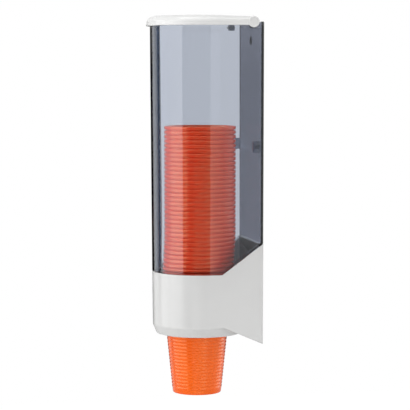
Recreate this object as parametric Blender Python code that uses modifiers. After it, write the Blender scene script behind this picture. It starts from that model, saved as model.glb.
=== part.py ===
"""Wall-mounted gravity dispenser for plastic cups.

A smoked magazine with a D-shaped plan stands on a white base. Cups hang rim to rim in it, and a
flexible retaining ring in the base's throat carries the lowest rim until that cup is pulled down.
A hinged lid closes the magazine for refilling.

Lengths are in metres. The wall is the plane y = 0, the dispenser stands in front of it towards -Y,
and z = 0 is the lower rim of the cup outlet.
"""

import math

import bmesh
import bpy
from mathutils import Matrix, Vector

# Clearances and overruns
FIT_GAP = 0.0003  # between two pieces that seat on each other
RUNNING_GAP = 0.0003  # round the lid's pivots
OVERRUN = 0.0030  # how far a cutter runs past what it cuts
WELD = 0.00001  # vertices nearer than this are one

# Cups
CUP_RIM_RADIUS = 0.03525
CUP_RIM_ROLL = 0.00175  # how far the rolled rim stands out from the cup's wall
CUP_RIM_ROUND = 0.0007
CUP_HEIGHT = 0.0950
CUP_WALL = 0.00014
CUP_FLOOR = 0.0005
CUP_FOOT_RECESS = 0.0018  # how far the lowest cup's floor is raised inside its foot
CUP_FOOT_WIDTH = 0.0012
CUP_RIB_PITCH = 0.0034
CUP_RIB_DEPTH = 0.0004
CUP_PLAIN_FOOT = 0.0040  # smooth band under the lowest rib
CUP_RIB_BAND = 0.0580  # height of the ribbed part
CUP_COUNT = 40
STACK_PITCH = 0.004337  # one cup's rim to the next
STACK_RIM_SPACE = 0.00094  # open space between one rim and the next
NEST_GAP = 0.000305  # between the walls of two nested cups
SETTLE_SHARE = 0.7  # of the nest gap, which each low cup leans forward on the next
SETTLED_CUPS = 14  # cups over which the column moves forward to the outlet

# Throat and retaining ring in the base
THROAT_HEIGHT = 0.0303
THROAT_CLEARANCE = 0.00225  # round a cup's rim
THROAT_WALL = 0.0020
THROAT_CHAMFER = 0.0009
RETAINER_THICKNESS = 0.0012
RETAINER_TIP_GAP = 0.0004  # from the finger tips to the wall of the lowest cup
RETAINER_SLOT = 0.0016
RETAINER_FINGERS = 12
CLAMP_THICKNESS = 0.0020
CLAMP_SCREWS = 4
RING_EDGE_GAP = 0.0005  # from the rings' outer edge to the base's wall
HEAD_SHARE = 0.90  # of half the ring's width, for a clamp screw's head
SHANK_SHARE = 0.48  # of a screw's head radius, for its shank
SCREW_HEAD_HEIGHT = 0.0015
CLAMP_SCREW_LENGTH = 0.0100
POST_STEP = 0.0001  # how far the screw posts stop under the seat
POST_FOOT_SHARE = 0.8  # of the floor's thickness, where the posts begin

# Base housing
HEAD_ROOM = 0.0190  # from the throat's seat to the foot of the magazine
BASE_WALL = 0.0020
BASE_DRAFT_SHARE = 0.0110  # of a height, which the radius gains over it
BASE_EDGE_Z = 0.0083  # lower edge of the wall round the front
BASE_EDGE_RISE = 0.0013  # more than that where the tail begins
BASE_FLOOR = 0.0020
BOWL_CHAMFER = 0.0032  # how far the chamfered foot draws in, in front
BOWL_FOOT_ROUND = 0.0006
FOOT_FORWARD_SHARE = 0.4  # of the outlet's way forward, for the foot's lower rim
BOWL_STEP = 0.00007  # the foot stands this far inside the wall, as a crisp line
CHEEK_START = 0.0128  # behind the cup axis, where the top edge begins to climb
CHEEK_RISE = 0.0300
TAIL_START = 0.0148  # behind the cup axis, where the lower edge begins to fall
TAIL_DROP = 0.0073  # below the outlet, at the wall
CORNER_INSIDE = 0.0004  # inner radius where a side meets the back
REST_RIB_WIDTH = 0.0024
REST_RIB_THICKNESS = 0.0016
REST_RIB_SHARES = (0.62, 0.26)  # of the distance from the wall to the cup axis
KEYHOLE_SPREAD = 0.0240
KEYHOLE_Z = 0.0270
KEYHOLE_HEAD_RADIUS = 0.0042
KEYHOLE_SLOT_RADIUS = 0.0023
KEYHOLE_LENGTH = 0.0090

# Magazine
MAGAZINE_CLEARANCE = 0.0094  # round the rims, at the seam with the base
MAGAZINE_WALL = 0.0026
MAGAZINE_DRAFT_SHARE = 0.0078
MAGAZINE_HEIGHT = 0.2433  # above the seam
BACK_ROOM = 0.00645  # from the round plan to the wall
SPIGOT_DEPTH = 0.0120  # how deep the magazine stands in the base
SPIGOT_WALL = 0.0024
SPIGOT_LAP = 0.0030  # how far the spigot runs up inside the magazine's wall
GUIDE_RIB_THICKNESS = 0.0020
GUIDE_RIB_BEAD = 0.0020  # radius of the bead along the rib's inner edge
GUIDE_RIB_CLEARANCE = 0.0031  # to the rims, at its foot
GUIDE_RIB_DRAFT_SHARE = 0.0104  # it leans out a little more than the wall
GUIDE_RIB_START = 0.0025  # above the seam
GUIDE_RIB_STOP = 0.0020  # below the magazine's top
GUIDE_FOOT_REACH = 0.0012
GUIDE_FOOT_HEIGHT = 0.0070
GUIDE_FOOT_FLAT = 0.0022
TAB_DEPTH = 0.0078
TAB_HEIGHT = 0.0113
TAB_THICKNESS = 0.0016
TAB_FROM_WALL = 0.0032
TAB_BELOW_TOP = 0.11935
WALL_HOLE_RADIUS = 0.00335
WALL_HOLE_BELOW_TOP = 0.0161
BACK_RISE = 0.0013  # of the back panel over the magazine's rim
BOSS_RADIUS = 0.0032
BOSS_LENGTH = 0.0050
FIXING_SPREAD = 0.0300
FIXING_HEAD_RADIUS = 0.0024
FIXING_HEAD_DEPTH = 0.0012
FIXING_SINK = 0.0002  # how far the heads stay inside the back face
FIXING_LENGTH = 0.0080

# Lid
LID_OVERHANG = 0.0037
LID_LAP = 0.0023  # how far its skirt hangs below the magazine's rim
LID_HEIGHT = 0.0099
LID_ROUND = 0.0080  # how far the rounded edge draws in
LID_WALL = 0.0020
LID_CROWN = 0.0003
LID_RIB_THICKNESS = 0.0016
LID_RIB_REACH = 0.0024  # how far the rest ribs reach over the magazine's rim
LID_RIB_ANGLES = (-142, -112, -68, -38)  # degrees about the cup axis, in the front half
HINGE_SETBACK = 0.0115  # hinge axis in front of the wall
HINGE_RISE = 0.0011  # hinge axis over the magazine's rim
EAR_RADIUS = 0.0055
EAR_THICKNESS = 0.0024
EAR_PROUD = 0.0005
EAR_ROUND = 0.0004
PIVOT_RADIUS = 0.0020
PIVOT_BOSS_RADIUS = 0.0034
LUG_RADIUS = 0.0032
LUG_FOOT = 0.0050  # how far a lug reaches down into the side wall
LUG_INSET = 0.0003  # each face of a lug inside the wall's faces

# Facets
ARC_STEPS = 24  # half-round front of the plan
CORNER_STEPS = 3
RING_STEPS = 32
CUP_STEPS = 12
LOWEST_CUP_STEPS = 24
HOLE_STEPS = 12
SCREW_STEPS = 12
ROUND_STEPS = 3

# Worked out from the sizes above
cup_rim_height = STACK_PITCH - STACK_RIM_SPACE
cup_body_radius = CUP_RIM_RADIUS - CUP_RIM_ROLL
cup_slope = (CUP_WALL + NEST_GAP) / STACK_PITCH
cup_body_height = CUP_HEIGHT - cup_rim_height
cup_foot_radius = cup_body_radius - cup_slope * cup_body_height
settle_step = SETTLE_SHARE * NEST_GAP
outlet_forward = SETTLED_CUPS * settle_step

retainer_z = THROAT_HEIGHT + FIT_GAP
clamp_z = retainer_z + RETAINER_THICKNESS + FIT_GAP
lowest_cup_z = clamp_z - cup_body_height

seam_radius = CUP_RIM_RADIUS + MAGAZINE_CLEARANCE + MAGAZINE_WALL
seam_z = THROAT_HEIGHT + HEAD_ROOM + SPIGOT_DEPTH
axis_to_wall = seam_radius + BACK_ROOM
spigot_back = BASE_WALL + FIT_GAP
magazine_top = seam_z + MAGAZINE_HEIGHT
back_top = magazine_top + BACK_RISE
cheek_slope = CHEEK_RISE / (axis_to_wall - CHEEK_START)

hinge_z = magazine_top + HINGE_RISE
skirt_z = magazine_top - LID_LAP
lid_top = skirt_z + LID_HEIGHT

magazine_axis = Vector((0, -axis_to_wall, 0))
outlet_axis = Vector((0, -axis_to_wall - outlet_forward, 0))


def base_radius(z):
    return seam_radius + BASE_DRAFT_SHARE * (z - seam_z)


def magazine_radius(z):
    return seam_radius + MAGAZINE_DRAFT_SHARE * (z - seam_z)


throat_radius = CUP_RIM_RADIUS + THROAT_CLEARANCE
seat_radius = base_radius(THROAT_HEIGHT) - BASE_WALL - outlet_forward - RING_EDGE_GAP
seat_half_width = (seat_radius - throat_radius) / 2
screw_circle = (seat_radius + throat_radius) / 2
clamp_head_radius = HEAD_SHARE * seat_half_width
clamp_shank_radius = SHANK_SHARE * clamp_head_radius
fixing_shank_radius = SHANK_SHARE * FIXING_HEAD_RADIUS
lid_radius = magazine_radius(magazine_top) + LID_OVERHANG


# Scene, collections and materials


def clear_scene():
    for obj in list(bpy.data.objects):
        bpy.data.objects.remove(obj, do_unlink=True)
    for group in list(bpy.data.collections):
        bpy.data.collections.remove(group)


def new_collection(name):
    group = bpy.data.collections.new(name)
    bpy.context.scene.collection.children.link(group)
    return group


def new_material(name, colour, roughness, metallic=0.0, transmission=0.0):
    material = bpy.data.materials.new(name)
    material.use_nodes = True
    shader = material.node_tree.nodes["Principled BSDF"]
    shader.inputs["Base Color"].default_value = (*colour, 1)
    shader.inputs["Roughness"].default_value = roughness
    shader.inputs["Metallic"].default_value = metallic
    shader.inputs["Transmission Weight"].default_value = transmission
    material.diffuse_color = (*colour, 1)
    return material


clear_scene()
parts = new_collection("cup_dispenser")
cutters = new_collection("cutters")


def finish(obj, material=None):
    """A piece gets its material and smooth shading, and goes in the parts collection."""
    for group in list(obj.users_collection):
        group.objects.unlink(obj)
    parts.objects.link(obj)
    if material:
        obj.data.materials.clear()
        obj.data.materials.append(material)
    obj.data.shade_smooth()
    obj.data.set_sharp_from_angle(angle=math.radians(30))
    return obj


def as_tool(obj):
    """A cutter, a mask or a shape to be joined isn't drawn by itself."""
    for group in list(obj.users_collection):
        group.objects.unlink(obj)
    cutters.objects.link(obj)
    obj.hide_render = True
    obj.display_type = "WIRE"
    return obj


def object_from(name, bm):
    bmesh.ops.recalc_face_normals(bm, faces=bm.faces)
    mesh = bpy.data.meshes.new(name)
    bm.to_mesh(mesh)
    bm.free()
    obj = bpy.data.objects.new(name, mesh)
    bpy.context.scene.collection.objects.link(obj)
    return obj


def boolean(obj, tool, operation):
    modifier = obj.modifiers.new(tool.name, "BOOLEAN")
    modifier.operation = operation
    modifier.solver = "EXACT"
    modifier.object = as_tool(tool)


def cut(obj, tool):
    boolean(obj, tool, "DIFFERENCE")


def join(obj, tool):
    boolean(obj, tool, "UNION")


def keep(obj, tool):
    boolean(obj, tool, "INTERSECT")


def settle_modifiers(obj):
    """The modifiers' result becomes the object's own mesh."""
    bpy.context.view_layer.update()
    graph = bpy.context.evaluated_depsgraph_get()
    mesh = bpy.data.meshes.new_from_object(obj.evaluated_get(graph))
    obj.modifiers.clear()
    obj.data = mesh


def set_origin(obj, point):
    obj.data.transform(Matrix.Translation(-point))
    obj.location = point


# Shapes


def box(name, low, high):
    bm = bmesh.new()
    bmesh.ops.create_cube(bm, size=1.0)
    low, high = Vector(low), Vector(high)
    bmesh.ops.scale(bm, vec=high - low, verts=bm.verts)
    bmesh.ops.translate(bm, vec=(low + high) / 2, verts=bm.verts)
    return object_from(name, bm)


def cylinder(name, radius, start, end, steps=HOLE_STEPS, end_radius=None):
    """A cylinder or cone from the point start to the point end."""
    start, end = Vector(start), Vector(end)
    along = end - start
    bm = bmesh.new()
    bmesh.ops.create_cone(
        bm,
        cap_ends=True,
        segments=steps,
        radius1=radius,
        radius2=radius if end_radius is None else end_radius,
        depth=along.length,
    )
    turn = along.to_track_quat("Z", "Y").to_matrix().to_4x4()
    bmesh.ops.transform(bm, matrix=Matrix.Translation((start + end) / 2) @ turn, verts=bm.verts)
    return object_from(name, bm)


def turned(name, profile, steps, place=(0, 0, 0), closed=True):
    """A Screw modifier turns the profile (radius, z), which runs down its outer side, about Z."""
    mesh = bpy.data.meshes.new(name)
    points = [(radius, 0, z) for radius, z in profile]
    edges = [(i, i + 1) for i in range(len(points) - 1)]
    if closed:
        edges.append((len(points) - 1, 0))
    mesh.from_pydata(points, edges, [])
    obj = bpy.data.objects.new(name, mesh)
    bpy.context.scene.collection.objects.link(obj)
    obj.location = place
    screw = obj.modifiers.new("turn", "SCREW")
    screw.steps = steps
    screw.render_steps = steps
    screw.use_merge_vertices = True
    screw.merge_threshold = WELD
    return obj


def arc(centre_x, centre_y, radius, start, end, steps):
    """Points on an arc, from start to end in degrees, both ends included."""
    angles = [math.radians(start + (end - start) * i / steps) for i in range(steps + 1)]
    return [(centre_x + radius * math.cos(a), centre_y + radius * math.sin(a)) for a in angles]


def extruded(name, outline, half_depth):
    """A flat outline in the XY plane, thickened both ways along Z, as a mesh."""
    curve = bpy.data.curves.new(name, "CURVE")
    curve.dimensions = "2D"
    curve.fill_mode = "BOTH"
    curve.extrude = half_depth
    spline = curve.splines.new("POLY")
    spline.points.add(len(outline) - 1)
    for point, (x, y) in zip(spline.points, outline):
        point.co = (x, y, 0, 1)
    spline.use_cyclic_u = True
    drawn = bpy.data.objects.new(name + "_outline", curve)
    bpy.context.scene.collection.objects.link(drawn)
    bpy.context.view_layer.update()
    graph = bpy.context.evaluated_depsgraph_get()
    mesh = bpy.data.meshes.new_from_object(drawn.evaluated_get(graph))
    bpy.data.objects.remove(drawn, do_unlink=True)
    bm = bmesh.new()
    bm.from_mesh(mesh)
    bpy.data.meshes.remove(mesh)
    bmesh.ops.remove_doubles(bm, verts=bm.verts, dist=WELD)
    return object_from(name, bm)


def side_extruded(name, outline, half_width, centre_x=0):
    """An outline of (y, z) points, thickened both ways along X."""
    obj = extruded(name, outline, half_width)
    turn = Matrix.Rotation(math.radians(90), 4, "Z") @ Matrix.Rotation(math.radians(90), 4, "X")
    obj.data.transform(Matrix.Translation((centre_x, 0, 0)) @ turn)
    return obj


def plan_outline(radius, back, wall):
    """The D-shaped plan: half round in front of the cup axis, straight to the wall behind it."""
    corner = wall + CORNER_INSIDE
    front = arc(0, -axis_to_wall, radius, 180, 360, ARC_STEPS)
    right = arc(radius - corner, -back - corner, corner, 0, 90, CORNER_STEPS)
    left = arc(-radius + corner, -back - corner, corner, 90, 180, CORNER_STEPS)
    return front + right + left


def plan_scaled(point, from_size, to_size):
    """Moves a point of one D-shaped plan to the same place on another, sizes as (radius, back)."""
    scale = to_size[0] / from_size[0]
    in_front = point.y + axis_to_wall
    if in_front < 0:
        return point.x * scale, -axis_to_wall + in_front * scale
    stretch = (axis_to_wall - to_size[1]) / (axis_to_wall - from_size[1])
    return point.x * scale, -axis_to_wall + in_front * stretch


def ring_of_edges(bm, outline, z):
    verts = [bm.verts.new((x, y, z)) for x, y in outline]
    return [bm.edges.new((verts[i - 1], verts[i])) for i in range(len(verts))]


def grow(bm, edges, move):
    """Extrudes a ring of edges and sends each new vertex to where move says."""
    made = bmesh.ops.extrude_edge_only(bm, edges=edges)["geom"]
    for vert in (item for item in made if isinstance(item, bmesh.types.BMVert)):
        vert.co = move(vert.co)
    return [item for item in made if isinstance(item, bmesh.types.BMEdge) and len(item.link_faces) == 1]


def solidify(obj, thickness):
    wall = obj.modifiers.new("wall", "SOLIDIFY")
    wall.thickness = thickness
    wall.offset = -1
    wall.use_even_offset = True
    wall.use_rim = True


def drafted_wall(name, radius_at, low, high, back, thickness):
    """An open D-shaped tube whose radius follows radius_at from low to high, given its wall inwards."""
    bm = bmesh.new()
    edges = ring_of_edges(bm, plan_outline(radius_at(low), back, thickness), low)
    sizes = (radius_at(low), back), (radius_at(high), back)
    grow(bm, edges, lambda co: (*plan_scaled(co, *sizes), high))
    obj = object_from(name, bm)
    solidify(obj, thickness)
    return obj


def seam_line(lift):
    """The joint between base and magazine from front to back, as (y, z), raised by lift."""
    front = -axis_to_wall - 2 * seam_radius
    start = -axis_to_wall + CHEEK_START
    behind = OVERRUN
    return [
        (front, seam_z + lift),
        (start, seam_z + lift),
        (behind, seam_z + lift + cheek_slope * (behind - start)),
    ]


def keyhole_outline(head_radius, slot_radius, length):
    """A round hole with a slot of round end that runs up from it."""
    neck = math.degrees(math.asin(slot_radius / head_radius))
    head = arc(0, 0, head_radius, 90 + neck, 450 - neck, HOLE_STEPS)
    return head + arc(0, length, slot_radius, 0, 180, HOLE_STEPS // 2)


# Pieces


def make_base(material):
    """White housing: skirt with cheeks and tail, chamfered foot, floor, throat, posts and ribs."""
    low = -TAIL_DROP - OVERRUN
    high = seam_z + CHEEK_RISE + OVERRUN
    base = drafted_wall("base_housing", base_radius, low, high, 0, BASE_WALL)

    behind = OVERRUN
    tail_y = -axis_to_wall + TAIL_START
    tail_z = BASE_EDGE_Z + BASE_EDGE_RISE
    tail_slope = (tail_z + TAIL_DROP) / -tail_y
    lower_edge = [
        (behind, -TAIL_DROP - tail_slope * behind),
        (tail_y, tail_z),
        (-axis_to_wall, BASE_EDGE_Z),
        (-axis_to_wall - 2 * seam_radius, BASE_EDGE_Z),
    ]
    keep(base, side_extruded("base_side_view", seam_line(0) + lower_edge, 2 * seam_radius))

    floor_z = tail_z + FIT_GAP
    floor_top = floor_z + BASE_FLOOR
    wall_middle = BASE_WALL / 2
    inner_radius = base_radius(floor_z) - BASE_WALL
    gutter_radius = inner_radius - wall_middle / 2
    floor_outline = plan_outline(base_radius(floor_z) - wall_middle, wall_middle, wall_middle)
    floor = extruded("base_floor", floor_outline, BASE_FLOOR / 2)
    floor.location.z = (floor_z + floor_top) / 2
    cut(floor, cylinder("gutter_opening", gutter_radius,
                        magazine_axis + Vector((0, 0, floor_z - OVERRUN)),
                        magazine_axis + Vector((0, 0, floor_top + OVERRUN)), RING_STEPS))
    join(base, floor)

    top_radius = base_radius(BASE_EDGE_Z) - BOWL_STEP
    foot_forward = FOOT_FORWARD_SHARE * outlet_forward
    foot_radius = top_radius - BOWL_CHAMFER - foot_forward
    slant = (top_radius - foot_radius) / BASE_EDGE_Z
    bowl_profile = [
        (top_radius, floor_top - BASE_FLOOR / 2),
        (top_radius, BASE_EDGE_Z + BOWL_STEP),
        (foot_radius, BOWL_FOOT_ROUND),
        (foot_radius - BOWL_FOOT_ROUND, 0),
        (throat_radius - THROAT_WALL / 2, 0),
        (throat_radius - THROAT_WALL / 2, BASE_FLOOR),
        (foot_radius - BASE_WALL, BASE_FLOOR),
        (foot_radius - BASE_WALL + slant * (floor_z - BASE_FLOOR), floor_top - BASE_FLOOR / 2),
    ]
    bowl = turned("base_foot", bowl_profile, 2 * ARC_STEPS, magazine_axis)
    settle_modifiers(bowl)
    for vert in bowl.data.vertices:
        vert.co.y -= foot_forward * max(1 - vert.co.z / (BASE_EDGE_Z + BOWL_STEP), 0)
    keep(bowl, box("foot_room", (-2 * seam_radius, -3 * seam_radius, -OVERRUN),
                   (2 * seam_radius, -BASE_WALL / 2, seam_z)))
    join(base, bowl)

    inside_floor = Vector((0, 0, BASE_FLOOR / 2))
    join(base, cylinder("throat_wall", throat_radius + THROAT_WALL, outlet_axis + inside_floor,
                        outlet_axis + Vector((0, 0, THROAT_HEIGHT)), RING_STEPS))
    for i, place in enumerate(clamp_screw_places()):
        top = Vector((place.x, place.y, THROAT_HEIGHT - POST_STEP))
        foot = Vector((place.x, place.y, POST_FOOT_SHARE * BASE_FLOOR))
        join(base, cylinder(f"screw_post_{i + 1}", seat_half_width, foot, top))

    rib_top = seam_z - SPIGOT_DEPTH - FIT_GAP
    for side in (-1, 1):
        for i, share in enumerate(REST_RIB_SHARES):
            y = -share * axis_to_wall
            wall_x = base_radius(floor_z) - BASE_WALL
            rib = box(f"rest_rib_{'left' if side < 0 else 'right'}_{i + 1}",
                      (wall_x - REST_RIB_WIDTH, y - REST_RIB_THICKNESS / 2, floor_z + BASE_FLOOR / 2),
                      (wall_x + wall_middle, y + REST_RIB_THICKNESS / 2, rib_top))
            rib.data.transform(Matrix.Scale(side, 4, (1, 0, 0)))
            if side < 0:
                rib.data.flip_normals()
            join(base, rib)

    bore = [
        (throat_radius, THROAT_HEIGHT + OVERRUN),
        (throat_radius, THROAT_CHAMFER),
        (throat_radius + THROAT_CHAMFER + OVERRUN, -OVERRUN),
        (0, -OVERRUN),
        (0, THROAT_HEIGHT + OVERRUN),
    ]
    cut(base, turned("throat_bore", bore, RING_STEPS, outlet_axis))
    for i, place in enumerate(clamp_screw_places()):
        bottom = THROAT_HEIGHT - CLAMP_SCREW_LENGTH
        cut(base, cylinder(f"post_hole_{i + 1}", clamp_shank_radius + FIT_GAP, (place.x, place.y, bottom),
                           (place.x, place.y, THROAT_HEIGHT + OVERRUN), SCREW_STEPS))
    for side in (-1, 1):
        word = "left" if side < 0 else "right"
        keyhole = extruded(f"keyhole_{word}", keyhole_outline(KEYHOLE_HEAD_RADIUS, KEYHOLE_SLOT_RADIUS,
                                                              KEYHOLE_LENGTH), BASE_WALL + OVERRUN)
        keyhole.data.transform(Matrix.Translation((side * KEYHOLE_SPREAD, 0, KEYHOLE_Z))
                               @ Matrix.Rotation(math.radians(90), 4, "X"))
        cut(base, keyhole)
        x = side * FIXING_SPREAD
        z = fixing_z()
        sink = Vector((x, -FIXING_SINK - FIXING_HEAD_DEPTH, z))
        slope = (FIXING_HEAD_RADIUS - fixing_shank_radius) / FIXING_HEAD_DEPTH
        reach = FIXING_SINK + OVERRUN
        cut(base, cylinder(f"countersink_{word}", fixing_shank_radius + FIT_GAP, sink,
                           (x, OVERRUN, z), SCREW_STEPS,
                           FIXING_HEAD_RADIUS + FIT_GAP + slope * reach))
        cut(base, cylinder(f"fixing_hole_{word}", fixing_shank_radius + FIT_GAP,
                           (x, -BASE_WALL - OVERRUN, z), (x, 0, z), SCREW_STEPS))
    return finish(base, material)


def clamp_screw_places():
    """Centres of the clamp screws on their circle round the outlet, between the axes of the plan."""
    turn = 360 / CLAMP_SCREWS
    flat = arc(outlet_axis.x, outlet_axis.y, screw_circle, turn / 2, turn / 2 + 360, CLAMP_SCREWS)
    return [Vector((x, y, 0)) for x, y in flat[:-1]]


def fixing_z():
    return seam_z - SPIGOT_DEPTH / 2


def make_magazine(material):
    """Smoked D-shaped tube with spigot, guide rib, rear tabs, hinge lugs and screw hole."""
    low = seam_z - SPIGOT_LAP
    magazine = drafted_wall("smoked_magazine", magazine_radius, low, magazine_top, 0, MAGAZINE_WALL)
    below = [(OVERRUN, low - OVERRUN), (-axis_to_wall - 2 * seam_radius, low - OVERRUN)]
    cut(magazine, side_extruded("seam", seam_line(FIT_GAP) + below, 2 * seam_radius))

    foot = seam_z - SPIGOT_DEPTH
    spigot = drafted_wall("spigot", lambda z: base_radius(z) - BASE_WALL - FIT_GAP, foot,
                          seam_z + CHEEK_RISE + SPIGOT_LAP, spigot_back, SPIGOT_WALL)
    under = [(OVERRUN, foot - OVERRUN), (-axis_to_wall - 2 * seam_radius, foot - OVERRUN)]
    keep(spigot, side_extruded("spigot_side_view", seam_line(SPIGOT_LAP) + under, 2 * seam_radius))
    join(magazine, make_guide_rib())
    join(magazine, make_guide_foot())
    join(magazine, spigot)

    tab_z = magazine_top - TAB_BELOW_TOP
    inner = magazine_radius(tab_z) - MAGAZINE_WALL
    for side in (-1, 1):
        word = "left" if side < 0 else "right"
        ends = sorted((side * (inner - TAB_THICKNESS), side * (inner + MAGAZINE_WALL / 2)))
        join(magazine, box(f"tab_{word}",
                           (ends[0], -TAB_FROM_WALL - TAB_DEPTH, tab_z - TAB_HEIGHT / 2),
                           (ends[1], -TAB_FROM_WALL, tab_z + TAB_HEIGHT / 2)))
        middle = side * (magazine_radius(magazine_top) - MAGAZINE_WALL / 2)
        lug = side_extruded(f"lug_{word}", lug_outline(), MAGAZINE_WALL / 2 - LUG_INSET, middle)
        join(magazine, lug)
        boss_start = -spigot_back - SPIGOT_WALL / 2
        boss_end = -spigot_back - SPIGOT_WALL - BOSS_LENGTH
        x = side * FIXING_SPREAD
        join(magazine, cylinder(f"boss_{word}", BOSS_RADIUS, (x, boss_start, fixing_z()),
                                (x, boss_end, fixing_z())))

    half = magazine_radius(magazine_top) - MAGAZINE_WALL / 2
    join(magazine, box("back_rise", (-half, -MAGAZINE_WALL + LUG_INSET, magazine_top - LUG_FOOT / 2),
                       (half, -2 * LUG_INSET, back_top)))

    width = magazine_radius(magazine_top) + OVERRUN
    cut(magazine, cylinder("pivot_holes", PIVOT_RADIUS + RUNNING_GAP, (-width, -HINGE_SETBACK, hinge_z),
                           (width, -HINGE_SETBACK, hinge_z)))
    hole_z = magazine_top - WALL_HOLE_BELOW_TOP
    cut(magazine, cylinder("wall_hole", WALL_HOLE_RADIUS, (0, -MAGAZINE_WALL - OVERRUN, hole_z),
                           (0, OVERRUN, hole_z)))
    for side in (-1, 1):
        x = side * FIXING_SPREAD
        cut(magazine, cylinder(f"boss_hole_{'left' if side < 0 else 'right'}",
                               fixing_shank_radius + FIT_GAP,
                               (x, -FIXING_SINK - FIXING_LENGTH - FIT_GAP, fixing_z()),
                               (x, OVERRUN, fixing_z()), SCREW_STEPS))
    return finish(magazine, material)


def lug_outline():
    """Round lug over a side wall for the lid's pivot, with the raised corner behind it, as (y, z)."""
    foot = magazine_top - LUG_FOOT
    y = -HINGE_SETBACK
    corner = y + EAR_RADIUS
    head = arc(y, hinge_z, LUG_RADIUS, 0, 180, HOLE_STEPS // 2)
    return [
        (-LUG_INSET, foot),
        (-LUG_INSET, back_top - POST_STEP),
        (corner, back_top - POST_STEP),
        (corner - LUG_INSET, magazine_top),
        (y + LUG_RADIUS, magazine_top),
        *head,
        (y - LUG_RADIUS, magazine_top),
        (y - LUG_RADIUS - LUG_FOOT / 2, foot),
    ]


def make_guide_rib():
    """Beaded rib down the inside of the round front, leaning out towards its top."""
    bottom = seam_z + GUIDE_RIB_START
    top = magazine_top - GUIDE_RIB_STOP
    bead_centre = CUP_RIM_RADIUS + GUIDE_RIB_CLEARANCE + GUIDE_RIB_BEAD
    length = seam_radius - MAGAZINE_WALL / 2 - bead_centre
    outline = keyhole_outline(GUIDE_RIB_BEAD, GUIDE_RIB_THICKNESS / 2, length - GUIDE_RIB_THICKNESS / 2)
    rib = extruded("guide_rib", outline, (top - bottom) / 2)
    lean = math.atan(GUIDE_RIB_DRAFT_SHARE)
    turn = Matrix.Rotation(lean, 4, "X") @ Matrix.Translation((0, 0, (top - bottom) / 2))
    place = Matrix.Translation((0, -axis_to_wall - bead_centre, bottom))
    rib.data.transform(place @ turn @ Matrix.Rotation(math.radians(180), 4, "Z"))
    return rib


def make_guide_foot():
    """The flared foot of the guide rib, which reaches in towards the rims."""
    bottom = seam_z + GUIDE_RIB_START + GUIDE_RIB_BEAD / 2
    outer = -axis_to_wall - CUP_RIM_RADIUS - GUIDE_RIB_CLEARANCE - GUIDE_RIB_BEAD
    inner = outer + GUIDE_RIB_BEAD + GUIDE_FOOT_REACH
    outline = [
        (outer, bottom),
        (inner, bottom),
        (inner, bottom + GUIDE_FOOT_FLAT),
        (outer, bottom + GUIDE_FOOT_HEIGHT),
    ]
    return side_extruded("guide_foot", outline, GUIDE_RIB_THICKNESS * 0.7)


def make_lid(material):
    """White domed lid: rounded shell with a hinge barrel, two ears with pivots, slots and rest ribs."""
    start = (lid_radius, HINGE_SETBACK - EAR_RADIUS)
    bm = bmesh.new()
    edges = ring_of_edges(bm, plan_outline(*start, LID_WALL), skirt_z)
    size = start
    # Shares of the lid's height, of the rounded edge's inset and of the barrel's turn
    level_shares = ((0.25, 0.00, 0.25), (0.58, 0.16, 0.52), (0.82, 0.48, 0.78), (0.96, 1.00, 1.00))
    low_angle = math.asin((skirt_z - hinge_z) / EAR_RADIUS)
    settle_rear(bm, low_angle)
    for height, inset, turn in level_shares:
        angle = low_angle + (math.radians(90) - low_angle) * turn
        back = HINGE_SETBACK - EAR_RADIUS * math.cos(angle)
        rear_z = hinge_z + EAR_RADIUS * math.sin(angle)
        target = (lid_radius - inset * LID_ROUND, back)
        edges = grow(bm, edges, lid_mover(size, target, skirt_z + height * (LID_HEIGHT - LID_CROWN), rear_z))
        size = target
    # Shares of the way from the rounded edge in to the middle, and of the crown
    for inward, crown in ((0.45, 0.80),):
        target = (size[0] * (1 - inward), size[1] + inward * axis_to_wall / 2)
        rear_z = hinge_z + EAR_RADIUS + crown * (lid_top - hinge_z - EAR_RADIUS)
        front_z = lid_top - (1 - crown) * LID_CROWN
        edges = grow(bm, edges, lid_mover(size, target, front_z, rear_z))
        size = target
    bmesh.ops.contextual_create(bm, geom=edges)
    lid = object_from("lid", bm)
    solidify(lid, LID_WALL)

    wall_outside = magazine_radius(magazine_top)
    rib_low = magazine_top + FIT_GAP
    rib_high = skirt_z + 0.62 * LID_HEIGHT
    for i, angle in enumerate(LID_RIB_ANGLES):
        rib = box(f"lid_rib_{i + 1}", (wall_outside - LID_RIB_REACH, -LID_RIB_THICKNESS / 2, rib_low),
                  (lid_radius - LID_WALL * 0.8, LID_RIB_THICKNESS / 2, rib_high))
        rib.data.transform(Matrix.Translation(magazine_axis) @ Matrix.Rotation(math.radians(angle), 4, "Z"))
        join(lid, rib)
    for side in (-1, 1):
        middle = side * (wall_outside - MAGAZINE_WALL / 2)
        cut(lid, side_extruded(f"lug_slot_{'left' if side < 0 else 'right'}", lug_slot_outline(),
                               MAGAZINE_WALL / 2 + FIT_GAP, middle))
    for side in (-1, 1):
        word = "left" if side < 0 else "right"
        inside = lid_radius + EAR_PROUD - EAR_THICKNESS
        ear = cylinder(f"ear_{word}", EAR_RADIUS, hinge_point(side * inside),
                       hinge_point(side * (lid_radius + EAR_PROUD)), 2 * HOLE_STEPS)
        edge = ear.modifiers.new("rounded edge", "BEVEL")
        edge.width = EAR_ROUND
        edge.segments = 1
        join(lid, ear)
        boss_end = wall_outside + FIT_GAP
        join(lid, cylinder(f"pivot_boss_{word}", PIVOT_BOSS_RADIUS, hinge_point(side * boss_end),
                           hinge_point(side * (inside + EAR_THICKNESS / 2))))
        pivot_end = wall_outside - MAGAZINE_WALL
        join(lid, cylinder(f"pivot_{word}", PIVOT_RADIUS, hinge_point(side * pivot_end),
                           hinge_point(side * (inside + EAR_THICKNESS / 2))))
    finish(lid, material)
    set_origin(lid, hinge_point(0))
    return lid


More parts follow.
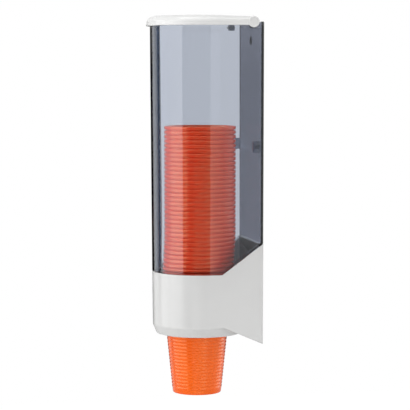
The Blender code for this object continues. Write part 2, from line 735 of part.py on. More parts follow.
def lug_slot_outline():
    """Slot for a lug, as (y, z): open on top behind the hinge, and a closed room in front of it."""
    reach = LUG_RADIUS + RUNNING_GAP
    low = skirt_z - OVERRUN
    high = lid_top + OVERRUN
    return [
        (-HINGE_SETBACK - reach, low),
        (0, low),
        (0, high),
        (-HINGE_SETBACK, high),
        (-HINGE_SETBACK, hinge_z + reach),
        (-HINGE_SETBACK - reach, hinge_z + reach),
    ]


def hinge_point(x):
    return Vector((x, -HINGE_SETBACK, hinge_z))


def rear_share(y):
    """0 in front of the cup axis, rising smoothly to 1 at the lid's rear edge."""
    along = (y + axis_to_wall) / (axis_to_wall - HINGE_SETBACK)
    along = min(max(along, 0), 1)
    return along * along * (3 - 2 * along)


def settle_rear(bm, low_angle):
    """Brings the first ring's rear to the start of the hinge barrel."""
    back = HINGE_SETBACK - EAR_RADIUS * math.cos(low_angle)
    for vert in bm.verts:
        x, y = plan_scaled(vert.co, (lid_radius, HINGE_SETBACK - EAR_RADIUS), (lid_radius, back))
        vert.co = (x, y, vert.co.z)


def lid_mover(size, target, front_z, rear_z):
    def move(co):
        x, y = plan_scaled(co, size, target)
        return x, y, front_z + (rear_z - front_z) * rear_share(y)

    return move


def make_retaining_ring(material):
    """Flat elastomer ring with radial slots, whose fingers carry the lowest rim."""
    tip = cup_body_radius + RETAINER_TIP_GAP
    top = retainer_z + RETAINER_THICKNESS
    profile = [(seat_radius, top), (seat_radius, retainer_z), (tip, retainer_z), (tip, top)]
    ring = turned("retaining_ring", profile, 2 * RETAINER_FINGERS, outlet_axis)
    slots = bmesh.new()
    reach = throat_radius - tip
    for i in range(RETAINER_FINGERS):
        made = bmesh.ops.create_cube(slots, size=1.0)["verts"]
        size = (2 * reach, RETAINER_SLOT, RETAINER_THICKNESS + 2 * OVERRUN)
        bmesh.ops.scale(slots, vec=size, verts=made)
        bmesh.ops.translate(slots, vec=(tip, 0, (retainer_z + top) / 2), verts=made)
        turn = Matrix.Rotation(math.radians(360 * i / RETAINER_FINGERS), 3, "Z")
        bmesh.ops.rotate(slots, verts=made, cent=(0, 0, 0), matrix=turn)
    bmesh.ops.translate(slots, vec=outlet_axis, verts=slots.verts)
    cut(ring, object_from("finger_slots", slots))
    pierce_for_screws(ring, "retainer")
    return finish(ring, material)


def make_clamp_ring(material):
    """Rigid ring that holds the retaining ring down on the throat."""
    top = clamp_z + CLAMP_THICKNESS
    edge = CLAMP_THICKNESS / 5
    profile = [
        (seat_radius - edge, top),
        (seat_radius, top - edge),
        (seat_radius, clamp_z),
        (throat_radius, clamp_z),
        (throat_radius, top - edge),
        (throat_radius + edge, top),
    ]
    ring = turned("clamp_ring", profile, RING_STEPS, outlet_axis)
    pierce_for_screws(ring, "clamp")
    return finish(ring, material)


def pierce_for_screws(ring, word):
    for i, place in enumerate(clamp_screw_places()):
        cut(ring, cylinder(f"{word}_hole_{i + 1}", clamp_shank_radius + FIT_GAP,
                           (place.x, place.y, THROAT_HEIGHT),
                           (place.x, place.y, clamp_z + CLAMP_THICKNESS + OVERRUN), SCREW_STEPS))


def make_clamp_screws(material):
    """Pan-head screws through both rings into the posts."""
    seat = clamp_z + CLAMP_THICKNESS + FIT_GAP
    length = CLAMP_SCREW_LENGTH
    profile = [
        (0, SCREW_HEAD_HEIGHT),
        (clamp_head_radius * 0.7, SCREW_HEAD_HEIGHT * 0.9),
        (clamp_head_radius, SCREW_HEAD_HEIGHT * 0.4),
        (clamp_head_radius, 0),
        (clamp_shank_radius, 0),
        (clamp_shank_radius, -length + clamp_shank_radius),
        (0, -length),
    ]
    for i, place in enumerate(clamp_screw_places()):
        screw = turned(f"clamp_screw_{i + 1}", profile, SCREW_STEPS, (place.x, place.y, seat), closed=False)
        finish(screw, material)


def make_fixing_screws(material):
    """Countersunk screws from behind, through the base into the magazine's bosses."""
    profile = [
        (0, 0),
        (FIXING_HEAD_RADIUS, 0),
        (fixing_shank_radius, -FIXING_HEAD_DEPTH),
        (fixing_shank_radius, -FIXING_LENGTH + fixing_shank_radius),
        (0, -FIXING_LENGTH),
    ]
    for side in (-1, 1):
        name = f"magazine_screw_{'left' if side < 0 else 'right'}"
        screw = turned(name, profile, SCREW_STEPS, (side * FIXING_SPREAD, -FIXING_SINK, fixing_z()), closed=False)
        screw.rotation_euler.x = math.radians(-90)
        finish(screw, material)


def cup_radius(height):
    """Outer radius of a cup's wall at a height above its foot."""
    return cup_foot_radius + cup_slope * height


def cup_rim_profile():
    """The rolled rim from its inner lip over the top and down to the wall."""
    return [
        (cup_radius(CUP_HEIGHT) - CUP_WALL, CUP_HEIGHT),
        (CUP_RIM_RADIUS, CUP_HEIGHT - CUP_RIM_ROUND),
        (CUP_RIM_RADIUS, cup_body_height),
        (cup_body_radius, cup_body_height),
    ]


def plain_cup_profile():
    floor = CUP_FLOOR
    return [
        *cup_rim_profile(),
        (cup_foot_radius, 0),
        (0, 0),
        (0, floor),
        (cup_radius(floor) - CUP_WALL, floor),
    ]


def ribbed_cup_profile():
    """The lowest cup shows, so it has its ribs and the recess under its floor."""
    ribs = []
    count = int(CUP_RIB_BAND / CUP_RIB_PITCH)
    for i in range(count, 0, -1):
        z = CUP_PLAIN_FOOT + i * CUP_RIB_PITCH
        ribs.append((cup_radius(z), z))
        ribs.append((cup_radius(z - CUP_RIB_PITCH / 2) + CUP_RIB_DEPTH, z - CUP_RIB_PITCH / 2))
    recess = cup_foot_radius - CUP_FOOT_WIDTH
    floor = CUP_FOOT_RECESS + CUP_FLOOR
    return [
        *cup_rim_profile(),
        *ribs,
        (cup_radius(CUP_PLAIN_FOOT), CUP_PLAIN_FOOT),
        (cup_foot_radius, 0),
        (recess, 0),
        (recess, CUP_FOOT_RECESS),
        (0, CUP_FOOT_RECESS),
        (0, floor),
        (cup_radius(floor) - CUP_WALL, floor),
    ]


def cup_place(index):
    """Foot of a cup, the lowest having index 0. The low cups lean forward step by step."""
    forward = outlet_forward - settle_step * min(index, SETTLED_CUPS)
    return Vector((0, -axis_to_wall - forward, lowest_cup_z + index * STACK_PITCH))


def make_cups(colour, roughness):
    """The column of nested cups, each its own piece."""
    lowest = turned("cup_01", ribbed_cup_profile(), LOWEST_CUP_STEPS, cup_place(0), closed=False)
    close_on_axis(lowest)
    finish(lowest, new_material("cup_01_orange", colour, roughness))
    shared = None
    for index in range(1, CUP_COUNT):
        name = f"cup_{index + 1:02d}"
        cup = turned(name, plain_cup_profile(), CUP_STEPS, cup_place(index), closed=False)
        close_on_axis(cup)
        if shared is None:
            shared = cup.data
            finish(cup, new_material("cup_orange", colour, roughness))
        else:
            cup.data = shared
            finish(cup)


def close_on_axis(cup):
    """Joins the last point of the inner wall to the rim's lip. The two axis points stay unjoined."""
    mesh = cup.data
    bm = bmesh.new()
    bm.from_mesh(mesh)
    bm.verts.ensure_lookup_table()
    bm.edges.new((bm.verts[-1], bm.verts[0]))
    for edge in [e for e in bm.edges if all(v.co.x < WELD for v in e.verts)]:
        bm.edges.remove(edge)
    bm.to_mesh(mesh)
    bm.free()


make_base(new_material("white_housing", (0.80, 0.80, 0.79), 0.35))
make_magazine(new_material("smoked_clear", (0.25, 0.27, 0.33), 0.08, transmission=0.8))
make_lid(new_material("white_lid", (0.84, 0.84, 0.83), 0.32))
make_retaining_ring(new_material("grey_elastomer", (0.12, 0.12, 0.13), 0.75))
make_clamp_ring(new_material("white_clamp", (0.78, 0.78, 0.77), 0.40))
make_clamp_screws(new_material("clamp_screw_steel", (0.62, 0.62, 0.63), 0.30, metallic=1.0))
make_fixing_screws(new_material("fixing_screw_steel", (0.58, 0.58, 0.60), 0.32, metallic=1.0))
make_cups((0.87, 0.18, 0.05), 0.40)
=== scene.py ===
import math

import bpy
import numpy as np
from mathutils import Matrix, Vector


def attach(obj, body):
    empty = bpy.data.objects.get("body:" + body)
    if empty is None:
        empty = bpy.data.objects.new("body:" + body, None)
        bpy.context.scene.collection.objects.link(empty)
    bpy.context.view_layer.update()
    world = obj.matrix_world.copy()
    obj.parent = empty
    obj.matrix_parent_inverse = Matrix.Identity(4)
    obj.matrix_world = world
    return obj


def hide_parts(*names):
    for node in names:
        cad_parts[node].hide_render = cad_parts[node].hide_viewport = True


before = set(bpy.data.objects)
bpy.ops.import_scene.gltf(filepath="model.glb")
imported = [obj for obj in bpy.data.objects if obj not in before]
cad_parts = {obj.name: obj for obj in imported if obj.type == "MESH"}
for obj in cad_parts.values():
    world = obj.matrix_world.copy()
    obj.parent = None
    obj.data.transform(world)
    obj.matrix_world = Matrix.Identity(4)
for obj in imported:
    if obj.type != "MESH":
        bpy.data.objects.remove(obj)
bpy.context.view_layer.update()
print("stage: frame loaded")

mm = 0.001
axisToWall = 53.7  # every piece is worked out in millimetres, with the wall at y = 0
outletForward = 2.989  # how far the outlet lies in front of the magazine's axis
hinge = {"y": -11.5, "z": 305.7, "lug": 47.85}  # the lid's axis, and its lugs' distance from the middle
fixing = {"x": 30.0, "z": 55.3}  # the two screws from behind


# Mesh helpers


def skin(rows, first=None, last=None):
    # Quads between neighbouring rows of points, each row closed on itself. An end closes in one
    # vertex where it is given, and where neither is, the last row joins the first.
    rows = np.asarray(rows, dtype=float)
    count, columns = rows.shape[:2]
    points = [rows.reshape(-1, 3)]
    closed = first is None and last is None
    r, c = np.meshgrid(np.arange(count if closed else count - 1), np.arange(columns), indexing="ij")
    nextRow, nextColumn = (r + 1) % count, (c + 1) % columns
    quads = np.stack([r * columns + c, r * columns + nextColumn,
                      nextRow * columns + nextColumn, nextRow * columns + c], -1).reshape(-1, 4)
    ring = np.arange(columns)
    after = (ring + 1) % columns
    triangles = []
    pole = count * columns
    for point, row, turn in ((first, 0, 1), (last, count - 1, -1)):
        if point is None:
            continue
        points.append(np.asarray(point, dtype=float).reshape(1, 3))
        fan = np.stack([row * columns + after, row * columns + ring, np.full(columns, pole)], -1)
        triangles.append(fan[:, ::turn])
        pole += 1
    triangles = np.concatenate(triangles) if triangles else np.zeros((0, 3), int)
    return np.concatenate(points), quads, triangles


def placed(surface, matrix, offset=(0, 0, 0)):
    # The same surface with each point multiplied by the 3 x 3 matrix and moved by offset.
    points, quads, triangles = surface
    return points @ np.asarray(matrix, float).T + np.asarray(offset, float), quads, triangles


def makePiece(name, surfaces, material, body, slotName, replaced=(), smooth=40):
    # One mesh from one or more closed surfaces in millimetres. Each is turned inside out where its
    # signed volume, the sum of a . (b x c) / 6 over its triangles, comes out negative.
    if not isinstance(surfaces, list):
        surfaces = [surfaces]
    allPoints, allLoops, allSizes, start = [], [], [], 0
    for points, quads, triangles in surfaces:
        a, b, c, d = (points[quads[:, i]] for i in range(4))
        volume = np.einsum("ij,ij->", a, np.cross(b, c)) + np.einsum("ij,ij->", a, np.cross(c, d))
        if len(triangles):
            e, f, g = (points[triangles[:, i]] for i in range(3))
            volume += np.einsum("ij,ij->", e, np.cross(f, g))
        if volume < 0:
            quads, triangles = quads[:, ::-1], triangles[:, ::-1]
        allPoints.append(points * mm)
        allLoops += [(quads + start).ravel(), (triangles + start).ravel()]
        allSizes += [np.full(len(quads), 4), np.full(len(triangles), 3)]
        start += len(points)
    points, loops, sizes = (np.concatenate(part) for part in (allPoints, allLoops, allSizes))
    mesh = bpy.data.meshes.new(name)
    mesh.vertices.add(len(points))
    mesh.vertices.foreach_set("co", points.ravel())
    mesh.loops.add(len(loops))
    mesh.loops.foreach_set("vertex_index", loops.astype(np.int32))
    mesh.polygons.add(len(sizes))
    mesh.polygons.foreach_set("loop_start", (np.cumsum(sizes) - sizes).astype(np.int32))
    mesh.update(calc_edges=True)
    mesh.validate()
    mesh.polygons.foreach_set("use_smooth", np.ones(len(mesh.polygons), dtype=bool))
    mesh.set_sharp_from_angle(angle=math.radians(smooth))
    mesh.materials.append(material)
    piece = bpy.data.objects.new(name, mesh)
    bpy.context.scene.collection.objects.link(piece)
    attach(piece, body)
    if replaced:
        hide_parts(*replaced)
    return piece


def cutHoles(piece, cutters, smooth=30):
    # Takes the cutters out of the piece for good, then removes them.
    for cutter in cutters:
        modifier = piece.modifiers.new("hole", "BOOLEAN")
        modifier.operation, modifier.solver, modifier.object = "DIFFERENCE", "EXACT", cutter
    bpy.context.view_layer.update()
    cut = bpy.data.meshes.new_from_object(piece.evaluated_get(bpy.context.evaluated_depsgraph_get()))
    cut.set_sharp_from_angle(angle=math.radians(smooth))
    piece.modifiers.clear()
    old, piece.data = piece.data, cut
    bpy.data.meshes.remove(old)
    for cutter in cutters:
        bpy.data.objects.remove(cutter, do_unlink=True)


def cutterFrom(surface):
    # A bare object for cutHoles, from a closed surface in millimetres.
    return makePiece("cutter", surface, None, "housing", "white_plastic")


def turned(profile, steps, centre=(0, 0, 0)):
    # Each profile point (r, h) goes round the Z axis: x = r cos a, y = r sin a, z = h. An end on
    # the axis closes in one vertex, and otherwise the profile closes on itself.
    profile = np.asarray(profile, dtype=float)
    angles = np.linspace(0, 2 * math.pi, steps, endpoint=False)
    ends = [row for row in (0, len(profile) - 1) if profile[row, 0] < 1e-9]
    kept = np.array([i for i in range(len(profile)) if i not in ends])
    r, h = profile[kept, 0, None], profile[kept, 1, None]
    rows = np.stack([r * np.cos(angles), r * np.sin(angles), np.broadcast_to(h, (len(kept), steps))], -1)
    first = (0, 0, profile[0, 1]) if 0 in ends else None
    last = (0, 0, profile[-1, 1]) if len(profile) - 1 in ends else None
    return placed(skin(rows, first, last), np.eye(3), centre)


def rounded(points, radius, steps=4):
    # The open profile with each inner corner cut back by radius, or just under half the shorter
    # side, and bridged by a quadratic curve: (1-t)^2 a + 2 t (1-t) corner + t^2 b.
    points = [np.asarray(p, dtype=float) for p in points]
    out = [points[0]]
    for before, corner, after in zip(points, points[1:], points[2:]):
        legs = [before - corner, after - corner]
        lengths = [np.linalg.norm(leg) for leg in legs]
        reach = min(radius, *(0.49 * length for length in lengths))
        a, b = (corner + leg / length * reach for leg, length in zip(legs, lengths))
        t = np.linspace(0, 1, steps + 1)[:, None]
        out.extend((1 - t) ** 2 * a + 2 * t * (1 - t) * corner + t**2 * b)
    out.append(points[-1])
    return np.array(out)


alongX = np.array([[0, 0, 1], [1, 0, 0], [0, 1, 0]])  # turns a shape about Z into one about X
alongY = np.array([[1, 0, 0], [0, 0, 1], [0, -1, 0]])  # into one about Y, its top towards the wall
fromWall = np.array([[1, 0, 0], [0, 0, -1], [0, 1, 0]])  # and with its top away from the wall


def slab(outline, thickness, edge):
    # A flat plate from a convex outline about its own middle: the outline is drawn in by edge at
    # both faces, which close in their middles.
    outline = np.asarray(outline, dtype=float)
    reach = np.linalg.norm(outline, axis=1, keepdims=True)
    levels = [(1, -0.5), (0.3, -0.5 + 0.3 * edge / thickness), (0, -0.5 + edge / thickness),
              (0, 0.5 - edge / thickness), (0.3, 0.5 - 0.3 * edge / thickness), (1, 0.5)]
    rows = []
    for share, height in levels:
        flat = outline * (1 - share * edge / reach)
        rows.append(np.column_stack([flat, np.full(len(flat), height * thickness)]))
    return skin(rows, (0, 0, -0.5 * thickness), (0, 0, 0.5 * thickness))


def roundedRectangle(width, height, radius, steps=6):
    # Corner arcs about the four inner corners, joined by the straight sides.
    turns = np.radians(np.linspace(0, 90, steps))
    corners = []
    for i, (sx, sy) in enumerate(((1, 1), (-1, 1), (-1, -1), (1, -1))):
        angle = turns + i * math.pi / 2
        corners.append(np.column_stack([sx * (width / 2 - radius) + radius * np.cos(angle),
                                        sy * (height / 2 - radius) + radius * np.sin(angle)]))
    return np.concatenate(corners)


# The D-shaped plan, in millimetres

seam = {"front": 61.3, "rise": 30.0, "bend": 40.9, "radius": 47.25}
draft = {"base": 0.0110, "magazine": 0.0078}
lowerEdge = {"y": [-axisToWall, -38.9, 0], "z": [8.3, 9.6, -7.3]}
planHeight = 60.0  # where a wall's plan is drawn first, to find the height of its edge
leastCorner = 0.4


def planShares(arcAngles, side=26, corner=7, back=30):
    # Shares that give each plan point from radius, back and corner sizes:
    # x = radius ux + corner vx, y = -axisToWall + radius uy + (axisToWall - back) w + corner vy.
    arc = np.radians(arcAngles)
    f = np.linspace(0, 1, side + 2)[1:-1]
    b = np.radians(np.linspace(0, 90, corner))
    g = np.linspace(1, -1, back + 2)[1:-1]
    zero, one = np.zeros_like, np.ones_like
    ux = [np.cos(arc), one(f), one(b), g, -one(b), -one(f)]
    uy = [np.sin(arc), zero(f), zero(b), zero(g), zero(b), zero(f)]
    vx = [zero(arc), zero(f), np.cos(b) - 1, -g, 1 - np.sin(b), zero(f)]
    vy = [zero(arc), -f, np.sin(b) - 1, zero(g), np.cos(b) - 1, -f[::-1]]
    w = [zero(arc), f, one(b), one(g), one(b), f[::-1]]
    return [np.concatenate(part) for part in (ux, uy, vx, vy, w)]


def planRing(shares, radius, back, corner):
    # The plan's points for these sizes, as x and y. A size may differ from point to point.
    ux, uy, vx, vy, w = shares
    return radius * ux + corner * vx, -axisToWall + radius * uy + (axisToWall - back) * w + corner * vy


def wallRow(shares, radiusAt, line, depth, corner, lift=0.0):
    # One row of a drafted wall. Its height is line(y) + lift, and its radius radiusAt(z) - depth.
    size = max(corner - depth, leastCorner)
    z = line(planRing(shares, radiusAt(planHeight) - depth, depth, size)[1]) + lift
    x, y = planRing(shares, radiusAt(z) - depth, depth, size)
    return np.column_stack([x, y, z])


def level(z):
    # A line for wallRow that stays at the height z.
    return lambda y: np.full_like(y, z)


def baseRadius(z):
    # The base widens upwards: radius + draft (z - front).
    return seam["radius"] + draft["base"] * (z - seam["front"])


def magazineRadius(z):
    # So does the magazine, by its own draft.
    return seam["radius"] + draft["magazine"] * (z - seam["front"])


def seamLine(y):
    # front as far as y = -bend, then straight up by rise to the wall.
    return seam["front"] + seam["rise"] * np.clip((y + seam["bend"]) / seam["bend"], 0, 1)


def lowerLine(y):
    # The base's lower edge, straight between its heights in front, where the tail begins and at the wall.
    return np.interp(y, lowerEdge["y"], lowerEdge["z"])


evenShares = planShares(np.linspace(180, 360, 121))


# Materials, in metres

noiseSpan = (0.3, 0.7)  # where most of a noise lies
tintSpan = (0.32, 0.68)
plasticBend = 1.49  # refraction of the white and the clear plastic


def newMaterial(name, color, roughness, **inputs):
    # A Principled surface whose constants sit on its own sockets.
    material = bpy.data.materials.new(name)
    material.use_nodes = True
    shader = material.node_tree.nodes["Principled BSDF"]
    shader.inputs["Base Color"].default_value = (*color, 1)
    shader.inputs["Roughness"].default_value = roughness
    for socket, value in inputs.items():
        shader.inputs[socket.replace("_", " ")].default_value = value
    return material, material.node_tree, shader


def objectNoise(tree, scale, detail=3.0, stretch=None):
    # Noise on Object coordinates, which are the row frame's metres. stretch scales the axes.
    coordinates = tree.nodes.new("ShaderNodeTexCoord")
    noise = tree.nodes.new("ShaderNodeTexNoise")
    noise.inputs["Scale"].default_value = scale
    noise.inputs["Detail"].default_value = detail
    source = coordinates.outputs["Object"]
    if stretch:
        mapping = tree.nodes.new("ShaderNodeMapping")
        mapping.inputs["Scale"].default_value = stretch
        tree.links.new(source, mapping.inputs["Vector"])
        source = mapping.outputs["Vector"]
    tree.links.new(source, noise.inputs["Vector"])
    return noise.outputs["Fac"]


def mapped(tree, value, fromRange, toRange=(0.0, 1.0)):
    # The value carried straight from one range to the other, and held at its ends.
    node = tree.nodes.new("ShaderNodeMapRange")
    for word, (low, high) in (("From", fromRange), ("To", toRange)):
        node.inputs[word + " Min"].default_value, node.inputs[word + " Max"].default_value = low, high
    tree.links.new(value, node.inputs["Value"])
    return node.outputs["Result"]


def roughened(tree, shader, noise, low, high):
    # The roughness runs from low to high with the noise.
    tree.links.new(mapped(tree, noise, noiseSpan, (low, high)), shader.inputs["Roughness"])


def addBump(tree, shader, noise, distance, strength):
    # The noise seems to raise the surface by up to distance times strength.
    node = tree.nodes.new("ShaderNodeBump")
    node.inputs["Strength"].default_value = strength
    node.inputs["Distance"].default_value = distance
    tree.links.new(noise, node.inputs["Height"])
    tree.links.new(node.outputs["Normal"], shader.inputs["Normal"])


def ramped(tree, value, stops):
    # The value's place among (position, colour) stops, straight between neighbours.
    ramp = tree.nodes.new("ShaderNodeValToRGB")
    elements = ramp.color_ramp.elements
    while len(elements) < len(stops):
        elements.new(0.5)
    for element, (position, color) in zip(elements, stops):
        element.position, element.color = position, (*color, 1)
    tree.links.new(value, ramp.inputs["Fac"])
    return ramp.outputs["Color"]


def tinted(tree, shader, noise, low, high):
    # The colour runs from low to high with the noise.
    color = ramped(tree, noise, list(zip(tintSpan, (low, high))))
    tree.links.new(color, shader.inputs["Base Color"])


def mathNode(tree, operation, *values):
    # One Math node on numbers or on other nodes' outputs.
    node = tree.nodes.new("ShaderNodeMath")
    node.operation = operation
    for socket, value in zip(node.inputs, values):
        if isinstance(value, (int, float)):
            socket.default_value = value
        else:
            tree.links.new(value, socket)
    return node.outputs["Value"]


def blended(tree, factor, a, b):
    # a (1 - factor) + b factor
    node = tree.nodes.new("ShaderNodeMix")
    for name, value in (("Factor", factor), ("A", a), ("B", b)):
        if isinstance(value, (int, float)):
            node.inputs[name].default_value = value
        else:
            tree.links.new(value, node.inputs[name])
    return node.outputs["Result"]


def between(tree, value, low, high, edge):
    # 1 where the value lies from low to high, and down to 0 over edge beyond each end:
    # clamp((x - low) / edge + 1) clamp((high - x) / edge + 1)
    ends = [mapped(tree, value, span) for span in ((low - edge, low), (high + edge, high))]
    return mathNode(tree, "MULTIPLY", *ends)


def tintedWhere(tree, mask, color, tint):
    # color times tint where the mask is 1: color (1 - mask) + color tint mask
    node = tree.nodes.new("ShaderNodeMix")
    node.data_type, node.blend_type = "RGBA", "MULTIPLY"
    tree.links.new(mask, node.inputs["Factor"])
    for socket, value in zip((node.inputs[6], node.inputs[7]), (color, tint)):
        if isinstance(value, tuple):
            socket.default_value = (*value, 1)
        else:
            tree.links.new(value, socket)
    return node.outputs[2]


moulded = {"cloud": 18, "sheen": 55, "glossier": 0.05, "duller": 0.06, "grain": 2600, "grainDepth": 0.00003,
           "grainStrength": 0.35}


def mouldedWhite(name, low, high, roughness):
    # Satin moulded plastic: a fine spark-eroded grain, slow changes of gloss and a faint cloudiness.
    material, tree, shader = newMaterial(name, high, roughness, IOR=plasticBend)
    tinted(tree, shader, objectNoise(tree, moulded["cloud"]), low, high)
    roughened(tree, shader, objectNoise(tree, moulded["sheen"], 4),
              roughness - moulded["glossier"], roughness + moulded["duller"])
    grain = objectNoise(tree, moulded["grain"], 2)
    addBump(tree, shader, grain, moulded["grainDepth"], moulded["grainStrength"])
    return material


# The colour and density of the smoke in the wall, and from where on painted shade darkens it as it
# turns edge on, standing in for the dark surroundings that its refraction shows there
smoke = {"taken": (0.35, 0.415, 0.535), "density": 228, "roughness": (0.004, 0.014),
         "sheen": (40, 3, (1, 1, 0.12)), "flow": (26, 2, (1, 1, 0.15)), "flowDepth": 0.00025,
         "flowStrength": 0.04, "paintedEdgeShade": [(0.665, (1, 1, 1)), (0.735, (0.002, 0.002, 0.004))],
         "front": (-0.2, -0.060, 0.01)}
# Each tint darkens what comes through at its place, within soft of the limits on X, Y or distance.
# At the rib, the corners and the hole's edge it is painted shade, standing in for the dark lines
# that refraction draws there; the back panel's tint makes what is seen through it darker.
paintedRibShade = {"x": (-0.0022, 0.0022), "xSoft": 0.0003, "y": (-0.0953, -0.0890), "ySoft": 0.0006, "lean": 0.0104,
           "tint": (0.14, 0.18, 0.24)}
paintedCornerShade = {"x": (0.0447, 0.06), "y": (-0.0030, 0.01), "soft": 0.0006, "tint": (0.02, 0.02, 0.03)}
darkPanel = {"y": (-0.0029, 0.01), "soft": 0.0001, "tint": (0.50, 0.51, 0.58)}
paintedHoleShade = {"z": 0.2885, "reach": (0.0, 0.0042), "reachSoft": 0.0003, "y": (-0.0035, 0.01), "ySoft": 0.0001,
            "tint": (0.01, 0.01, 0.02)}


def smokedClear(name, through):
    # Clear smoked plastic: it bends light and takes some of it on the way through the wall. Painted
    # shade darkens its front part where it is seen along the wall, and darkens it at the guide rib, the
    # rear corners and the screw hole's edge, standing in for the dark lines its refraction shows there.
    # It is also darker where seen through the back panel, and the moulding flow shows as faint upright waves.
    material, tree, shader = newMaterial(name, (1, 1, 1), smoke["roughness"][1],
                                         Transmission_Weight=1.0, IOR=plasticBend)
    roughened(tree, shader, objectNoise(tree, *smoke["sheen"]), *smoke["roughness"])
    addBump(tree, shader, objectNoise(tree, *smoke["flow"]), smoke["flowDepth"], smoke["flowStrength"])
    facing = tree.nodes.new("ShaderNodeLayerWeight")
    facing.inputs["Blend"].default_value = 0.5
    edgeShadeTint = ramped(tree, facing.outputs["Facing"], smoke["paintedEdgeShade"])
    place = tree.nodes.new("ShaderNodeSeparateXYZ")
    tree.links.new(tree.nodes.new("ShaderNodeTexCoord").outputs["Object"], place.inputs["Vector"])
    across, deep, high = (place.outputs[axis] for axis in "XYZ")

    # Painted shade along the guide rib, standing in for the dark band its refraction shows. The rib
    # leans forward with the wall: y + lean z stays the same along it
    leaning = mathNode(tree, "MULTIPLY_ADD", high, paintedRibShade["lean"], deep)
    rib = mathNode(tree, "MULTIPLY", between(tree, across, *paintedRibShade["x"], paintedRibShade["xSoft"]),
                   between(tree, leaning, *paintedRibShade["y"], paintedRibShade["ySoft"]))
    # Painted shade on the corners' outer faces, standing in for the dark lines along the rear corners
    corner = mathNode(tree, "MULTIPLY",
                      between(tree, mathNode(tree, "ABSOLUTE", across), *paintedCornerShade["x"], paintedCornerShade["soft"]),
                      between(tree, deep, *paintedCornerShade["y"], paintedCornerShade["soft"]))
    inward = tree.nodes.new("ShaderNodeNewGeometry").outputs["Backfacing"]
    corner = mathNode(tree, "MULTIPLY", corner, mathNode(tree, "SUBTRACT", 1.0, inward))
    # Painted shade at the hole's edge, by its distance from the hole's middle: sqrt(x^2 + (z - middle)^2)
    up = mathNode(tree, "SUBTRACT", high, paintedHoleShade["z"])
    square = mathNode(tree, "MULTIPLY_ADD", across, across, mathNode(tree, "MULTIPLY", up, up))
    hole = mathNode(tree, "MULTIPLY",
                    between(tree, mathNode(tree, "SQRT", square), *paintedHoleShade["reach"], paintedHoleShade["reachSoft"]),
                    between(tree, deep, *paintedHoleShade["y"], paintedHoleShade["ySoft"]))

    # Painted shade on the front part where the wall turns edge on, then painted shade at the rib, corners and
    # hole's edge, and the back panel's darker tint
    color = tintedWhere(tree, between(tree, deep, *smoke["front"]), through, edgeShadeTint)
    panel = between(tree, deep, *darkPanel["y"], darkPanel["soft"])
    for mask, dark in ((rib, paintedRibShade), (corner, paintedCornerShade), (panel, darkPanel), (hole, paintedHoleShade)):
        color = tintedWhere(tree, mask, color, dark["tint"])
    tree.links.new(color, shader.inputs["Base Color"])
    absorbing = tree.nodes.new("ShaderNodeVolumeAbsorption")
    absorbing.inputs["Color"].default_value = (*smoke["taken"], 1)
    absorbing.inputs["Density"].default_value = smoke["density"]
    tree.links.new(absorbing.outputs["Volume"], tree.nodes["Material Output"].inputs["Volume"])
    return material


# Noises as scale, detail and stretch, all drawn out upwards
orange = {"coat": 0.3, "coatRoughness": 0.08, "gleam": (1.0, 0.68, 0.30, 1), "roughness": (0.14, 0.20),
          "streaks": (60, 3, (1, 1, 0.25)), "sheen": (120, 3, (1, 1, 0.2)), "grain": (900, 2, (1, 1, 0.2)),
          "grainDepth": 0.00001, "grainStrength": 0.12}


def cupOrange(name, low, high, bend):
    # Thin thermoformed cup: saturated glossy orange, streaked upwards by the drawing of the sheet.
    material, tree, shader = newMaterial(name, high, orange["roughness"][1], IOR=bend,
                                         Coat_Weight=orange["coat"], Coat_Roughness=orange["coatRoughness"],
                                         Specular_Tint=orange["gleam"])
    tinted(tree, shader, objectNoise(tree, *orange["streaks"]), low, high)
    roughened(tree, shader, objectNoise(tree, *orange["sheen"]), *orange["roughness"])
    addBump(tree, shader, objectNoise(tree, *orange["grain"]), orange["grainDepth"], orange["grainStrength"])
    return material


def elastomer():
    # Dull black rubber with an uneven skin.
    material, tree, shader = newMaterial("elastomer", (0.05, 0.05, 0.055), 0.72)
    tinted(tree, shader, objectNoise(tree, 140), (0.035, 0.035, 0.04), (0.07, 0.07, 0.075))
    addBump(tree, shader, objectNoise(tree, 1800), 0.00006, 0.5)
    return material


def zincSteel():
    # Zinc-plated steel, patchy in shade and gloss.
    material, tree, shader = newMaterial("zincSteel", (0.62, 0.62, 0.60), 0.3, Metallic=1.0)
    tinted(tree, shader, objectNoise(tree, 300), (0.50, 0.51, 0.50), (0.70, 0.70, 0.67))
    roughened(tree, shader, objectNoise(tree, 700), 0.22, 0.42)
    addBump(tree, shader, objectNoise(tree, 2500), 0.00003, 0.4)
    return material


baseWhite = mouldedWhite("baseWhite", (0.60, 0.60, 0.595), (0.63, 0.63, 0.625), 0.20)
lidWhite = mouldedWhite("lidWhite", (0.67, 0.67, 0.665), (0.70, 0.70, 0.695), 0.20)
clampWhite = mouldedWhite("clampWhite", (0.72, 0.72, 0.71), (0.77, 0.77, 0.76), 0.45)
smoked = smokedClear("smokedClear", (1, 1, 1))
# A darker copy of the smoked plastic for the lugs, tabs and bosses: painted shade, so that these small parts
# show dark through the shell
smokedPaintedShade = smokedClear("smokedPaintedShade", (0.28, 0.30, 0.35))
# The column is redder and brighter than the lowest cups, because it is mostly seen through the
# smoke: a painted-light copy of the cup plastic, standing in for the light that reaches it inside
# the magazine
stackOrangePaintedLight = cupOrange("stackOrangePaintedLight", (0.97, 0.034, 0.004), (0.99, 0.050, 0.008), 2.4)
lowestOrange = cupOrange("lowestOrange", (0.89, 0.100, 0.003), (0.93, 0.125, 0.006), 1.7)
print("stage: materials made")


# Magazine

